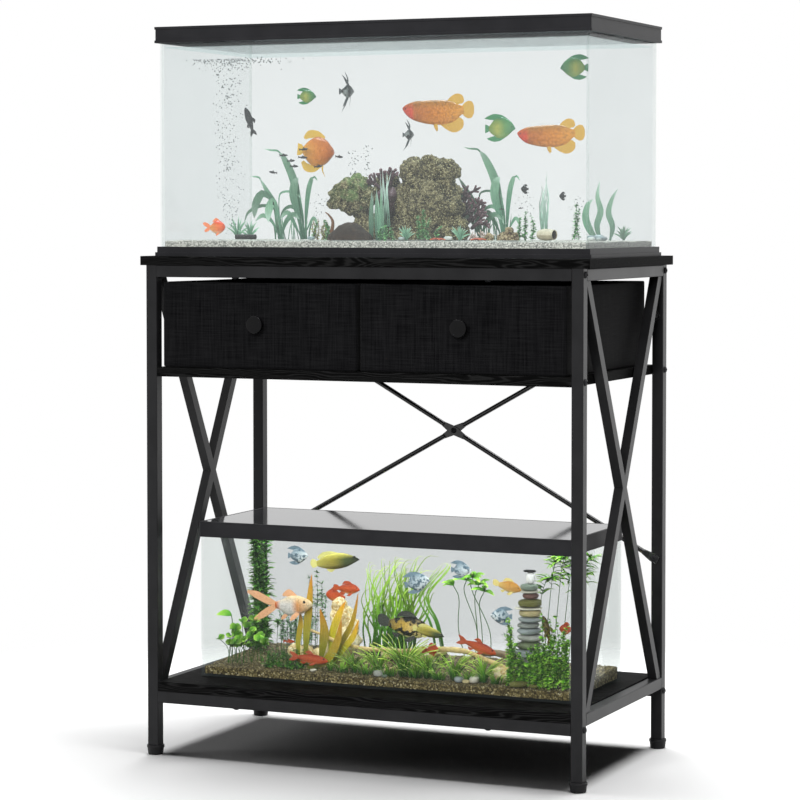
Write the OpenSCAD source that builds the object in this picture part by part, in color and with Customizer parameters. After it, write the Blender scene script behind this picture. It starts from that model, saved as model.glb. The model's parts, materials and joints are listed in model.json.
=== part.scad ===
// Two aquariums on a steel stand with two fabric drawers.
// Millimetres, +Z up, origin on the floor under the middle of the stand, front towards -Y.

/* [Stand] */
// Length of the tabletop, left to right
top_l = 935; // [900:1:980]
// Depth of the tabletop, front to back
top_d = 484; // [484:1:500]
// Thickness of the tabletop
top_t = 18; // [15:1:22]
// Height of the stand with its tabletop
stand_h = 982.5; // [960:0.5:1000]
// Length of the steel frame over its posts
frame_l = 910; // [905:1:915]
// Depth of the steel frame over its posts
frame_d = 482; // [478:1:484]
// Outer width of the square tube
tube = 23; // [22:0.5:25]
// Wall of the square tube
tube_wall = 1.5; // [1:0.1:2]
// Height of a foot below its post
foot_h = 19; // [15:1:24]

/* [Shelves] */
// Height of the lower shelf's upper face
shelf_z = 146; // [140:1:160]
// Thickness of the lower shelf
shelf_t = 19; // [16:1:22]
// Height of the drawer shelf's upper face
drawer_shelf_z = 765.5; // [755:0.5:775]
// Thickness of the drawer shelf
drawer_shelf_t = 18.5; // [16:0.5:20]
// Height of the side rails' lower face at the bottom of the frame
side_rail_z = 120.5; // [115:0.5:124]

/* [Drawers] */
// Gap between the two drawers
drawer_gap = 6; // [4:1:12]
// Width of one drawer
drawer_w = 418; // [400:1:420]
// Depth of one drawer, front to back
drawer_d = 445; // [420:1:446]
// Height of one drawer
drawer_h = 167; // [150:1:170]
// Distance of a drawer's front from the middle of the stand
drawer_front = 236; // [230:1:240]
// Thickness of the fabric-covered walls
drawer_wall = 4; // [3:0.5:6]
// Diameter of a drawer's knob
knob_d = 35; // [30:1:40]

/* [Upper tank] */
// Length over the plastic trim
tank_l = 912; // [905:1:918]
// Depth over the plastic trim
tank_d = 407; // [400:1:415]
// Height of the bottom trim
base_trim_h = 18; // [16:1:22]
// Height of the whole tank
tank_h = 449; // [445:1:455]
// Height of the top trim
top_trim_h = 31.5; // [30:0.5:34]
// Thickness of the glass
glass_t = 6; // [5:0.5:8]
// Height of the gravel's upper face above the tabletop
gravel_rise = 31.5; // [28:0.5:40]

/* [Lower tank] */
// Length over the lid frame
low_l = 787; // [780:1:790]
// Depth over the lid frame
low_d = 288; // [280:1:292]
// Height of the whole tank
low_h = 309; // [300:1:315]
// Height of the lid frame
low_lid_h = 30.5; // [28:0.5:34]
// Thickness of the glass
low_glass_t = 5; // [4:0.5:6]

/* [Hidden] */
$fn = 48;
tube_r = 2;
foot_gap = 0.3;         // between a foot's collar and the end of its post
touch = 0.2;            // gap that keeps neighbours from cutting into each other
fit = 0.05;             // radial clearance of pins and shanks in their holes
over = 1;               // how far a cutter runs past the face it cuts

frame_top = stand_h - top_t;
post_x = frame_l / 2 - tube / 2;
post_y = frame_d / 2 - tube / 2;
rail_len_x = frame_l - 2 * tube;
rail_len_y = frame_d - 2 * tube;
bottom_rail_z = shelf_z - shelf_t - tube;
top_rail_z = frame_top - tube;

brace_w = 20;
brace_t = 18;
brace_wall = 1.5;

bolt_shank = 6;
bolt_head_d = 12.5;
bolt_head_h = 4.5;
bolt_reach = 16;        // how far a frame bolt runs into the piece it holds
bolt_hole_deep = 18;    // depth of the hole that takes it
rail_plug = 8;          // thickness of the plates that close a long rail's ends
rod_bolt_r = 2.5;       // shank of the bolts that hold the rear rods
screw_shank = 4;
screw_head_d = 14;
screw_head_h = 4;
screw_x = 264;
screw_bite = 10;        // how far a screw runs into the board above it
screw_hole_deep = 13;   // depth of the hole that takes it
bolt_heights = [top_rail_z + tube / 2, drawer_shelf_z - drawer_shelf_t / 2, bottom_rail_z + tube / 2];

rod_d = 10;
rod_plane = post_y - tube / 2 - 2;   // centre plane of the rods, in front of the rear posts
rod_high = 868;
rod_low = 376.5;
rod_stagger = 4.25;     // the two rods' holes are this far off a mirror image
rod_flat_t = 4;
rod_flat_w = 17;
rod_flat_l = 27;

drawer_z = drawer_shelf_z + 0.3;
drawer_x = drawer_gap / 2 + drawer_w / 2;
knob_z = 852;
knob_h = 22;
knob_screw_r = 2;
knob_screw_l = 18;
knob_screw_deep = 12;   // depth of the hole in the knob

tank_z = stand_h;
tank_in_x = 9;          // from the trim's outer face to the glass
tank_in_y = 8;
glass_l = tank_l - 2 * tank_in_x;
glass_d = tank_d - 2 * tank_in_y;
glass_z = tank_z + 10;
trim_z = tank_z + tank_h - top_trim_h;
trim_top = tank_z + tank_h;
lid_t = 6;
lid_z = trim_top - lid_t - 1;
lid_split = 59;         // where the front flap of the lid meets the fixed rear part
lip = 5;
gravel_z = tank_z + gravel_rise;

low_x = 7;
low_y = -7;
low_glass_l = low_l - 4;
low_glass_d = low_d - 4;
low_trim_z = shelf_z + low_h - low_lid_h;
low_top = shelf_z + low_h;
low_panel_t = 4;
low_gravel_front = shelf_z + 24;
low_gravel_back = shelf_z + 44;

// ---------- shapes that repeat ----------

// Rectangle with round corners, centred, from two bars and four discs
module rounded(w, d, r) {
    square([w - 2 * r, d], center = true);
    square([w, d - 2 * r], center = true);
    for (sx = [-1, 1], sy = [-1, 1])
        translate([sx * (w / 2 - r), sy * (d / 2 - r)])
            circle(r = r);
}

// Board whose twelve edges are eased, standing on z = 0 and centred in x and y
module eased_board(l, d, t, r) {
    intersection() {
        linear_extrude(t)
            rounded(l, d, r);
        translate([0, 0, t / 2])
            rotate([90, 0, 0])
                linear_extrude(d + 2, center = true)
                    rounded(l, t, r);
        translate([0, 0, t / 2])
            rotate([90, 0, 90])
                linear_extrude(l + 2, center = true)
                    rounded(d, t, r);
    }
}

// Length of open square tube along z, centred
module square_tube(len) {
    difference() {
        linear_extrude(len, center = true)
            rounded(tube, tube, tube_r);
        linear_extrude(len + 2 * over, center = true)
            rounded(tube - 2 * tube_wall, tube - 2 * tube_wall, tube_r - tube_wall);
    }
}

// Round hole or shank along x, y or z, centred
module along_x(r, len) {
    rotate([0, 90, 0])
        cylinder(r = r, h = len, center = true);
}
module along_y(r, len) {
    rotate([90, 0, 0])
        cylinder(r = r, h = len, center = true);
}
module along_z(r, len) {
    cylinder(r = r, h = len, center = true);
}

// Domed head with a hexagon socket, its flat side on z = 0
module socket_head(d, h) {
    difference() {
        rotate_extrude()
            intersection() {
                translate([0, h - d * 0.72])
                    circle(r = d * 0.72);
                square([d / 2, h]);
            }
        translate([0, 0, h / 2])
            cylinder(r = d * 0.2, h = h, $fn = 6);
    }
}

// Ring of rectangular outline, outer size l by d, wall w, from z0 to z1
module ring(l, d, w, z0, z1, r = 2) {
    translate([0, 0, z0])
        linear_extrude(z1 - z0)
            difference() {
                rounded(l, d, r);
                square([l - 2 * w, d - 2 * w], center = true);
            }
}

// Plain pane or slab between two corners
module slab(lo, hi) {
    translate(lo)
        cube(hi - lo);
}

// ---------- stand ----------

module tabletop() {
    color("#1b1b1c")
        difference() {
            translate([0, 0, frame_top])
                eased_board(top_l, top_d, top_t, 1.2);
            for (x = [-screw_x, screw_x], y = [-post_y, post_y])
                translate([x, y, frame_top])
                    along_z(screw_shank / 2 + fit, 2 * screw_hole_deep);
        }
}

// Post at the corner (sx, sy), with holes for the frame bolts and, at the rear, the rods' bolts
module post(sx, sy) {
    post_h = frame_top - foot_h;
    color("#2b2b2d")
        translate([sx * post_x, sy * post_y, 0])
            difference() {
                translate([0, 0, foot_h + post_h / 2])
                    square_tube(post_h);
                for (z = bolt_heights)
                    translate([0, 0, z])
                        along_x(bolt_shank / 2 + fit, tube + 2 * over);
                if (sy > 0)
                    for (z = rod_holes(sx))
                        translate([-sx * (post_x - rod_bolt_x), -tube / 2, z])
                            along_y(rod_bolt_r + fit, 2 * tube_wall + 2 * over);
            }
}

// Rail along x between two posts; its ends are closed by plates that take the frame bolts
module long_rail(y, z) {
    color("#2b2b2d")
        translate([0, y, z + tube / 2])
            difference() {
                rotate([0, 90, 0])
                    linear_extrude(rail_len_x, center = true)
                        rounded(tube, tube, tube_r);
                rotate([0, 90, 0])
                    linear_extrude(rail_len_x - 2 * rail_plug, center = true)
                        rounded(tube - 2 * tube_wall, tube - 2 * tube_wall, tube_r - tube_wall);
                for (sx = [-1, 1])
                    translate([sx * rail_len_x / 2, 0, 0])
                        along_x(bolt_shank / 2 + fit, 2 * bolt_hole_deep);
                for (x = [-screw_x, screw_x])
                    translate([x, 0, 0])
                        along_z(screw_shank / 2 + fit, tube + 2 * over);
            }
}

// Rail along y between the two posts of one side
module side_rail(sx, z) {
    color("#2b2b2d")
        translate([sx * post_x, 0, z + tube / 2])
            rotate([90, 0, 0])
                square_tube(rail_len_y);
}

brace_lo = side_rail_z + tube;
brace_hi = top_rail_z;
brace_angle = atan((rail_len_y - brace_w * 1.2) / (brace_hi - brace_lo));
brace_half = brace_w / 2 / cos(brace_angle);
brace_y = rail_len_y / 2 - brace_half - touch;

// Side view of a brace that leans one way, as a parallelogram in y and z, grown inwards by cut
module brace_outline(lean, cut = 0, past = 0) {
    w = brace_half - cut / cos(brace_angle);
    run = brace_y / ((brace_hi - brace_lo) / 2) * past;
    a = brace_y + run;
    polygon([[-lean * a - w, brace_hi + past], [-lean * a + w, brace_hi + past],
        [lean * a + w, brace_lo - past], [lean * a - w, brace_lo - past]]);
}

module brace_sheet(t) {
    rotate([90, 0, 90])
        linear_extrude(t, center = true)
            children();
}

// Full-length brace from the top front to the bottom rear
module side_brace(sx) {
    color("#2b2b2d")
        translate([sx * post_x, 0, 0])
            difference() {
                brace_sheet(brace_t)
                    brace_outline(1);
                brace_sheet(brace_t - 2 * brace_wall)
                    brace_outline(1, brace_wall, over);
            }
}

// The two short braces that meet the full one at the crossing
module side_brace_halves(sx) {
    color("#2b2b2d")
        translate([sx * post_x, 0, 0])
            difference() {
                brace_sheet(brace_t)
                    difference() {
                        brace_outline(-1);
                        brace_outline(1, -touch / 4);
                    }
                brace_sheet(brace_t - 2 * brace_wall)
                    brace_outline(-1, brace_wall, over);
            }
}

rod_bolt_x = post_x - 4;
// Heights of the rods' bolts in the rear post on side sx: upper, lower
function rod_holes(sx) = [rod_high - sx * rod_stagger, rod_low + sx * rod_stagger];

// Flattened end or middle of a rod: a lozenge with a hole, lying in x and z
module rod_flat(t) {
    rotate([90, 0, 0])
        linear_extrude(t, center = true)
            difference() {
                union() {
                    circle(d = rod_flat_w);
                    polygon([[-rod_flat_l, -rod_d / 2], [-6, -rod_flat_w / 2], [6, -rod_flat_w / 2],
                        [rod_flat_l, -rod_d / 2], [rod_flat_l, rod_d / 2], [6, rod_flat_w / 2],
                        [-6, rod_flat_w / 2], [-rod_flat_l, rod_d / 2]]);
                }
                circle(r = rod_bolt_r + fit);
            }
}

// Rear rod from (x0, z0) to (x1, z1); lap is 1 for the rod whose middle lies in front
module rear_rod(x0, z0, x1, z1, lap) {
    len = norm([x1 - x0, z1 - z0]);
    mid = rod_mid_share() * len;
    tip = rod_flat_l * 0.9;
    color("#232324")
        translate([x0, rod_plane, z0])
            rotate([0, -atan2(z1 - z0, x1 - x0), 0])
                difference() {
                    union() {
                        for (x = [[tip, mid - tip], [mid + tip, len - tip]])
                            translate([(x[0] + x[1]) / 2, 0, 0])
                                along_x(rod_d / 2, x[1] - x[0]);
                        rod_flat(rod_flat_t);
                        translate([len, 0, 0])
                            rod_flat(rod_flat_t);
                        translate([mid, -lap * rod_flat_t / 4, 0])
                            rod_flat(rod_flat_t / 2);
                    }
                    for (x = [-rod_flat_w / 2 - rod_flat_l, len + rod_flat_w / 2 + rod_flat_l])
                        translate([x, 0, 0])
                            cube([2 * rod_flat_l, 2 * rod_d, 2 * rod_flat_w], center = true);
                    for (x = [0, len, mid])
                        translate([x, 0, 0])
                            along_y(rod_bolt_r + fit, 2 * rod_d);
                }
}

// Where the two rods cross, as a share of a rod's length from its left end
function rod_mid_share() =
    let (rise = rod_high + rod_stagger - rod_low + rod_stagger,
        slopes = 2 * (rod_high - rod_low))
        rise / slopes;

module rear_rod_falling() {
    rear_rod(-rod_bolt_x, rod_holes(-1)[0], rod_bolt_x, rod_holes(1)[1], 1);
}

module rear_rod_rising() {
    rear_rod(-rod_bolt_x, rod_holes(-1)[1], rod_bolt_x, rod_holes(1)[0], -1);
}

rod_cross_x = rod_bolt_x * (2 * rod_mid_share() - 1);
rod_cross_z = rod_holes(-1)[0] + rod_mid_share() * (rod_holes(1)[1] - rod_holes(-1)[0]);

module rear_rod_bolt(x, z, shank) {
    face = rod_plane - rod_flat_t / 2;
    translate([x, face, z])
        rotate([90, 0, 0])
            socket_head(12, 3.6);
    translate([x, face + shank / 2, z])
        along_y(rod_bolt_r, shank);
}

module rear_rod_bolts() {
    color("#3a3a3c") {
        for (sx = [-1, 1], z = rod_holes(sx))
            rear_rod_bolt(sx * rod_bolt_x, z, rod_flat_t + 8);
        rear_rod_bolt(rod_cross_x, rod_cross_z, rod_flat_t);
        translate([rod_cross_x, rod_plane + rod_flat_t / 2 + 2, rod_cross_z])
            rotate([90, 0, 0])
                cylinder(d = 11, h = 4, center = true, $fn = 6);
    }
}

module frame_bolts() {
    len = tube + bolt_reach - 3;
    color("#3a3a3c")
        for (sx = [-1, 1], sy = [-1, 1], z = bolt_heights)
            translate([sx * frame_l / 2, sy * post_y, z]) {
                rotate([0, sx * 90, 0])
                    socket_head(bolt_head_d, bolt_head_h);
                translate([-sx * len / 2, 0, 0])
                    along_x(bolt_shank / 2, len);
            }
}

// Screws that come up through a pair of long rails into the board above them
module board_screws(rail_z) {
    color("#3a3a3c")
        for (x = [-screw_x, screw_x], y = [-post_y, post_y])
            translate([x, y, rail_z]) {
                mirror([0, 0, 1])
                    socket_head(screw_head_d, screw_head_h);
                translate([0, 0, (tube + screw_bite) / 2])
                    along_z(screw_shank / 2, tube + screw_bite);
            }
}

// Where a rod passes the middle of the drawer shelf, as a distance along x from the left bolts
rod_slope = (rod_high - rod_low) / (2 * rod_bolt_x);
function rod_x_at_shelf(start_z) = abs(bolt_heights[1] - start_z) / rod_slope - rod_bolt_x;

// Shelf under the drawers, with two notches in its rear edge for the rods
module drawer_shelf() {
    notch_w = drawer_shelf_t / rod_slope + 2.2 * rod_d;
    notch_d = frame_d / 2 - rod_plane + rod_d / 2 + 2;
    color("#1b1b1c")
        difference() {
            translate([0, 0, drawer_shelf_z - drawer_shelf_t])
                eased_board(rail_len_x, frame_d - 2, drawer_shelf_t, 1);
            for (start_z = rod_holes(-1))
                translate([rod_x_at_shelf(start_z), frame_d / 2, bolt_heights[1]])
                    cube([notch_w, 2 * notch_d, 2 * drawer_shelf_t], center = true);
            for (sx = [-1, 1], y = [-post_y, post_y])
                translate([sx * rail_len_x / 2, y, bolt_heights[1]])
                    along_x(bolt_shank / 2 + fit, 2 * bolt_hole_deep);
        }
}

module lower_shelf() {
    color("#1b1b1c")
        difference() {
            translate([0, 0, shelf_z - shelf_t])
                eased_board(rail_len_x, frame_d, shelf_t, 1);
            for (x = [-screw_x, screw_x], y = [-post_y, post_y])
                translate([x, y, shelf_z - shelf_t])
                    along_z(screw_shank / 2 + fit, 2 * screw_hole_deep);
        }
}

// Levelling foot: a round pad with a collar and a stem that turns in the plug above it
module foot(sx, sy) {
    color("#111112")
        translate([sx * post_x, sy * post_y, 0])
            rotate_extrude()
                polygon([[0, 0], [13.6, 0], [14.8, 1.2], [16.2, foot_h - 6], [17.2, foot_h - 5],
                    [17.2, foot_h - 1.5], [16.6, foot_h - foot_gap], [4, foot_h - foot_gap],
                    [4, foot_h + 22], [3, foot_h + 23], [0, foot_h + 23]]);
}

module foot_inserts() {
    w = tube - 2 * tube_wall - 2 * fit;
    color("#111112")
        for (sx = [-1, 1], sy = [-1, 1])
            translate([sx * post_x, sy * post_y, foot_h])
                difference() {
                    linear_extrude(26)
                        rounded(w, w, tube_r - tube_wall);
                    along_z(4 + fit, 60);
                }
}

// ---------- drawers ----------

// Fabric-covered box, open at the top, on side sx: a floor panel with four wall panels standing on
// its edges, all sewn into one cover. A seam's width of gap parts the panels.
module drawer_box(sx) {
    front_t = 2 * drawer_wall;
    wall_h = drawer_h - drawer_wall - touch;
    side_d = drawer_d - front_t - drawer_wall - 2 * touch;
    color("#161617")
        translate([sx * drawer_x, -drawer_front + drawer_d / 2, drawer_z]) {
            linear_extrude(drawer_wall)
                rounded(drawer_w, drawer_d, 3);
            translate([0, 0, drawer_wall + touch]) {
                difference() {
                    drawer_panel(0, (front_t - drawer_d) / 2, drawer_w, front_t, wall_h);
                    translate([0, -drawer_d / 2, knob_z - drawer_z - drawer_wall - touch])
                        along_y(knob_screw_r + fit, 4 * drawer_wall + 2);
                }
                drawer_panel(0, (drawer_d - drawer_wall) / 2, drawer_w, drawer_wall, wall_h);
                for (side = [-1, 1])
                    drawer_panel(side * (drawer_w - drawer_wall) / 2, (front_t - drawer_wall) / 2,
                        drawer_wall, side_d, wall_h);
            }
        }
}

// Upright wall panel w by d by h, centred at (x, y)
module drawer_panel(x, y, w, d, h) {
    translate([x, y, 0])
        linear_extrude(h)
            rounded(w, d, 1.2);
}

// Loose stiffening board on the floor of the drawer
module drawer_base(sx) {
    inner_l = drawer_w - 2 * drawer_wall - 4;
    inner_d = drawer_d - 3 * drawer_wall - 4;
    color("#2c2c2c")
        translate([sx * drawer_x, -drawer_front + (drawer_d + drawer_wall) / 2, drawer_z + drawer_wall + touch])
            linear_extrude(3)
                rounded(inner_l, inner_d, 3);
}

// Round knob with a waist and a slightly domed face, turned from one profile
module drawer_knob(sx) {
    r = knob_d / 2;
    color("#0f0f10")
        translate([sx * drawer_x, -drawer_front - touch, knob_z])
            rotate([90, 0, 0])
                difference() {
                    rotate_extrude()
                        polygon([[0, 0], [9, 0], [9, 1.2], [7.2, 3], [7, 7], [9, 10.5], [r - 1.6, 12.5],
                            [r - 0.4, 13.8], [r, 15.5], [r, 18], [r - 0.5, 19.4], [r - 1.8, 20.6],
                            [r - 5, 21.4], [r * 0.4, knob_h], [0, knob_h]]);
                    along_z(knob_screw_r + fit, knob_screw_deep * 2);
                }
}

// Machine screw from inside the drawer front into the knob
module drawer_knob_screw(sx) {
    inside = -drawer_front + 2 * drawer_wall;
    color("#8a8a8c")
        translate([sx * drawer_x, inside, knob_z]) {
            rotate([-90, 0, 0])
                socket_head(8, 3);
            translate([0, -knob_screw_l / 2, 0])
                along_y(knob_screw_r, knob_screw_l);
        }
}

// ---------- upper tank ----------

module upper_base_trim() {
    color("#1d1d1f") {
        difference() {
            union() {
                ring(tank_l, tank_d, 24, tank_z, tank_z + 7);
                ring(tank_l - 6, tank_d - 6, 21, tank_z + 6, glass_z);
                ring(tank_l - 6, tank_d - 6, tank_in_x, glass_z - 1, tank_z + base_trim_h);
            }
            slab([-glass_l / 2 - fit, -glass_d / 2 - fit, glass_z],
                [glass_l / 2 + fit, glass_d / 2 + fit, glass_z + 30]);
        }
    }
}

module upper_glass_bottom() {
    color("#dfe9ea", 0.35)
        slab([-glass_l / 2 + glass_t, -glass_d / 2 + glass_t, glass_z],
            [glass_l / 2 - glass_t, glass_d / 2 - glass_t, glass_z + glass_t]);
}

// Long pane at the front (sy = -1) or the back (sy = 1)
module upper_glass_long(sy) {
    color("#dfe9ea", 0.35)
        translate([0, sy * (glass_d - glass_t) / 2, (glass_z + trim_z + 18) / 2])
            cube([glass_l, glass_t, trim_z + 18 - glass_z], center = true);
}

module upper_glass_sides() {
    color("#dfe9ea", 0.35)
        for (sx = [-1, 1])
            translate([sx * (glass_l - glass_t) / 2, 0, (glass_z + trim_z + 18) / 2])
                cube([glass_t, glass_d - 2 * glass_t, trim_z + 18 - glass_z], center = true);
}

// Moulded rim: a skirt outside the glass, a web over its edge and a lip round the lid
module upper_top_trim() {
    color("#1d1d1f")
        difference() {
            union() {
                ring(tank_l, tank_d, tank_in_x, trim_z, trim_z + 5);
                ring(tank_l - 3, tank_d - 3, tank_in_y - 1.5, trim_z + 4, trim_top - 4);
                ring(tank_l, tank_d, lip, trim_top - 5, trim_top);
                ring(tank_l - 3, tank_d - 3, 24, trim_z + 18, lid_z);
            }
            slab([-glass_l / 2 - fit, -glass_d / 2 - fit, trim_z - over],
                [glass_l / 2 + fit, glass_d / 2 + fit, trim_z + 18]);
            slab([-tank_l / 2 + lip, -tank_d / 2 + lip, lid_z],
                [tank_l / 2 - lip, tank_d / 2 - lip, trim_top + over]);
            for (sx = [-1, 1])
                translate([sx * (tank_l / 2 - lip), lid_split, lid_z + lid_t / 2])
                    along_x(1.5 + fit, 6);
        }
}

module upper_lid_rear() {
    color("#26262a")
        slab([-tank_l / 2 + lip + 0.5, lid_split + lid_t / 2 + 0.6, lid_z + touch],
            [tank_l / 2 - lip - 0.5, tank_d / 2 - lip - 0.5, lid_z + lid_t]);
}

// Front flap: a plate with a round rear edge that ends in two pins, and a finger notch in front
module upper_lid_flap() {
    half = tank_l / 2 - lip - 0.5;
    color("#26262a")
        translate([0, lid_split, lid_z + lid_t / 2]) {
            difference() {
                slab([-half, -lid_split - tank_d / 2 + lip + 0.5, -lid_t / 2 + touch],
                    [half, 0, lid_t / 2]);
                translate([0, -lid_split - tank_d / 2 + lip, 0])
                    linear_extrude(2 * lid_t, center = true)
                        rounded(90, 26, 8);
            }
            along_x(lid_t / 2 - touch, 2 * half);
            along_x(1.5, 2 * half + 6);
        }
}

module upper_gravel() {
    color("#c9c9c4")
        slab([-glass_l / 2 + glass_t + 0.3, -glass_d / 2 + glass_t + 0.3, glass_z + glass_t],
            [glass_l / 2 - glass_t - 0.3, glass_d / 2 - glass_t - 0.3, gravel_z]);
}

// Lumps of a rock as [x, y, z, radius], cut flat at height z0
module rock(lumps, z0) {
    difference() {
        for (s = lumps)
            translate([s[0], s[1], s[2]])
                sphere(r = s[3], $fn = 12);
        translate([0, 0, z0 - 100])
            cube([1000, 1000, 200], center = true);
    }
}

// Mushroom arch with its towers, then the low cave rock in front
module upper_rocks() {
    z0 = gravel_z + touch;
    color("#6d6a4d")
        rock([[-45, -5, 1040, 34], [10, 0, 1045, 42], [65, -10, 1045, 42], [100, -15, 1035, 32],
            [-20, 0, 1085, 34], [15, 10, 1120, 34], [8, 10, 1152, 28], [70, -10, 1100, 42],
            [75, -15, 1145, 32], [-45, 0, 1130, 24], [-88, -25, 1042, 20], [-95, -25, 1072, 16],
            [-75, -15, 1022, 24], [-98, -35, 1102, 36], [-128, -35, 1098, 28]], z0);
    color("#3a2f28")
        rock([[-72, -118, 1016, 36], [-100, -112, 1012, 24], [-50, -112, 1010, 22]], z0);
}

// Barrel jar on its side, bar of air stone, and a few pale stones
module upper_ornaments() {
    z0 = gravel_z + touch;
    color("#4a4036")
        translate([334, -112, z0 + 11])
            rotate([0, 90, 0])
                difference() {
                    rotate_extrude()
                        intersection() {
                            translate([-47, 0])
                                circle(r = 58);
                            translate([0, -18])
                                square([20, 36]);
                        }
                    translate([0, 0, -8])
                        along_z(7, 36);
                }
    color("#202021")
        translate([-318, -80, z0]) {
            translate([0, 0, 5])
                along_x(5, 44);
            translate([0, 0, 1])
                cube([30, 8, 2], center = true);
        }
    color("#d8d6cc")
        for (s = [[385, -60, 9], [404, -52, 11], [423, -64, 8], [398, -74, 7]])
            translate([s[0], s[1], z0])
                intersection() {
                    sphere(r = s[2]);
                    translate([0, 0, 15])
                        cube(30, center = true);
                }
}

// A plant's plain envelope: a cone standing on its root
module plant(p) {
    translate([p[0], p[1], p[2]])
        cylinder(r1 = p[3], r2 = p[4], h = p[5]);
}

// Every entry is [x, y, z of the root, root radius, top radius, height]
module upper_plants() {
    z0 = gravel_z + touch;
    color("#4f8f6d")
        for (p = [[-335, 35, 12, 16, 120], [-285, 30, 14, 18, 140], [-250, 28, 12, 16, 165],
            [120, 85, 10, 14, 120], [165, 80, 14, 18, 160], [195, 90, 12, 16, 110],
            [-10, -90, 6, 8, 130], [-165, -70, 14, 18, 46], [190, -85, 12, 14, 26],
            [255, -100, 14, 16, 22], [267, 60, 5, 10, 130], [262, -40, 6, 8, 46],
            [334, 40, 5, 7, 66], [84, -122, 6, 8, 56], [420, 10, 8, 14, 110],
            [-415, 60, 6, 12, 40], [428, 70, 6, 12, 28]])
            plant([p[0], p[1], z0, p[2], p[3], p[4]]);
}

// ---------- lower tank ----------

module lower_glass_bottom() {
    color("#dfe9ea", 0.35)
        translate([low_x, low_y, 0])
            slab([-low_glass_l / 2 + low_glass_t, -low_glass_d / 2 + low_glass_t, shelf_z],
                [low_glass_l / 2 - low_glass_t, low_glass_d / 2 - low_glass_t, shelf_z + low_glass_t]);
}

low_glass_h = low_trim_z + 20 - shelf_z;

module lower_glass_long(sy) {
    color("#dfe9ea", 0.35)
        translate([low_x, low_y + sy * (low_glass_d - low_glass_t) / 2, shelf_z + low_glass_h / 2])
            cube([low_glass_l, low_glass_t, low_glass_h], center = true);
}

module lower_glass_sides() {
    color("#dfe9ea", 0.35)
        for (sx = [-1, 1])
            translate([low_x + sx * (low_glass_l - low_glass_t) / 2, low_y, shelf_z + low_glass_h / 2])
                cube([low_glass_t, low_glass_d - 2 * low_glass_t, low_glass_h], center = true);
}

// Lid frame: bars round the rim with a thin lip above and below, and a cap on each corner
module lower_lid_frame() {
    color("#2a2a2c")
        translate([low_x, low_y, 0])
            difference() {
                union() {
                    ring(low_l - 1, low_d - 1, 10, low_trim_z + 3, low_top - 3);
                    ring(low_l, low_d, 7, low_trim_z, low_trim_z + 3.5);
                    ring(low_l, low_d, 10, low_top - 3.5, low_top);
                    ring(low_l - 1, low_d - 1, 18, low_trim_z + 20, low_top - low_panel_t);
                }
                slab([-low_glass_l / 2 - fit, -low_glass_d / 2 - fit, low_trim_z - over],
                    [low_glass_l / 2 + fit, low_glass_d / 2 + fit, low_trim_z + 20]);
                slab([-low_l / 2 + lip, -low_d / 2 + lip, low_top - low_panel_t],
                    [low_l / 2 - lip, low_d / 2 - lip, low_top + over]);
                for (sx = [-1, 1])
                    translate([sx * (low_l / 2 - lip), low_d / 2 - lip - 2.4, low_top - low_panel_t / 2])
                        along_x(1.2 + fit, 7);
                for (sx = [-1, 1], sy = [-1, 1])
                    translate([sx * (low_l / 2 - 12), sy * low_d / 2, low_trim_z + low_lid_h / 2])
                        cube([0.8, 1.2, low_lid_h + 2], center = true);
            }
}

// Hinged cover panel: a plate with a round rear edge that ends in two pins
module lower_lid_panel() {
    half = low_l / 2 - lip - 0.4;
    color("#55565a")
        translate([low_x, low_y + low_d / 2 - lip - 2.4, low_top - low_panel_t / 2]) {
            slab([-half, -low_d + 2 * lip + 2.8, -low_panel_t / 2 + touch],
                [half, 0, low_panel_t / 2]);
            along_x(low_panel_t / 2 - touch, 2 * half);
            along_x(1.2, 2 * half + 6);
        }
}

module lower_gravel() {
    half_d = low_glass_d / 2 - low_glass_t - 0.3;
    color("#4a3b2e")
        translate([low_x, low_y, 0])
            rotate([90, 0, 90])
                linear_extrude(low_glass_l - 2 * low_glass_t - 0.6, center = true)
                    polygon([[-half_d, shelf_z + low_glass_t], [half_d, shelf_z + low_glass_t],
                        [half_d, low_gravel_back], [-half_d, low_gravel_front]]);
}

// Height of the lower gravel at depth y
function low_ground(y) =
    low_gravel_front + (low_gravel_back - low_gravel_front) * ((y - low_y) / low_glass_d + 0.5);

// Branch through hand-set points [x, y, z, radius], one hull per stretch
module branch(points) {
    for (i = [0 : len(points) - 2])
        hull()
            for (p = [points[i], points[i + 1]])
                translate([p[0], p[1], p[2]])
                    sphere(r = p[3], $fn = 8);
}

module lower_driftwood() {
    color("#8a6a42") {
        branch([[-215, -35, 262, 5], [-165, -38, 228, 8], [-110, -40, 206, 11], [-30, -42, 208, 12],
            [60, -45, 206, 12], [150, -45, 208, 11], [220, -40, 212, 8], [245, -20, 222, 5]]);
        branch([[-110, -40, 206, 10], [-150, 0, 212, 7], [-190, 30, 228, 4]]);
    }
}

// Flat stone: a disc with a round edge
module flat_stone(r, t) {
    e = min(t / 2 - 0.01, r / 3);
    rotate_extrude() {
        square([r - e, t]);
        translate([0, e])
            square([r, t - 2 * e]);
        for (z = [e, t - e])
            translate([r - e, z])
                circle(r = e);
    }
}

// Thickness and radius of each stone of the stack, from the bottom up
stack_t = [20, 18, 16, 14, 14, 13, 10, 11, 14, 5, 15, 12, 5, 12, 22, 4];
stack_r = [34, 31, 29, 27, 25, 24, 23, 24, 24, 27, 25, 17, 22, 19, 9, 13];
stack_x = 286;
stack_y = -72;

// Height of the underside of stone i in the stack
function stack_z(i) = i == 0 ? low_ground(stack_y) + 3 : stack_z(i - 1) + stack_t[i - 1] + touch;

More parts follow.
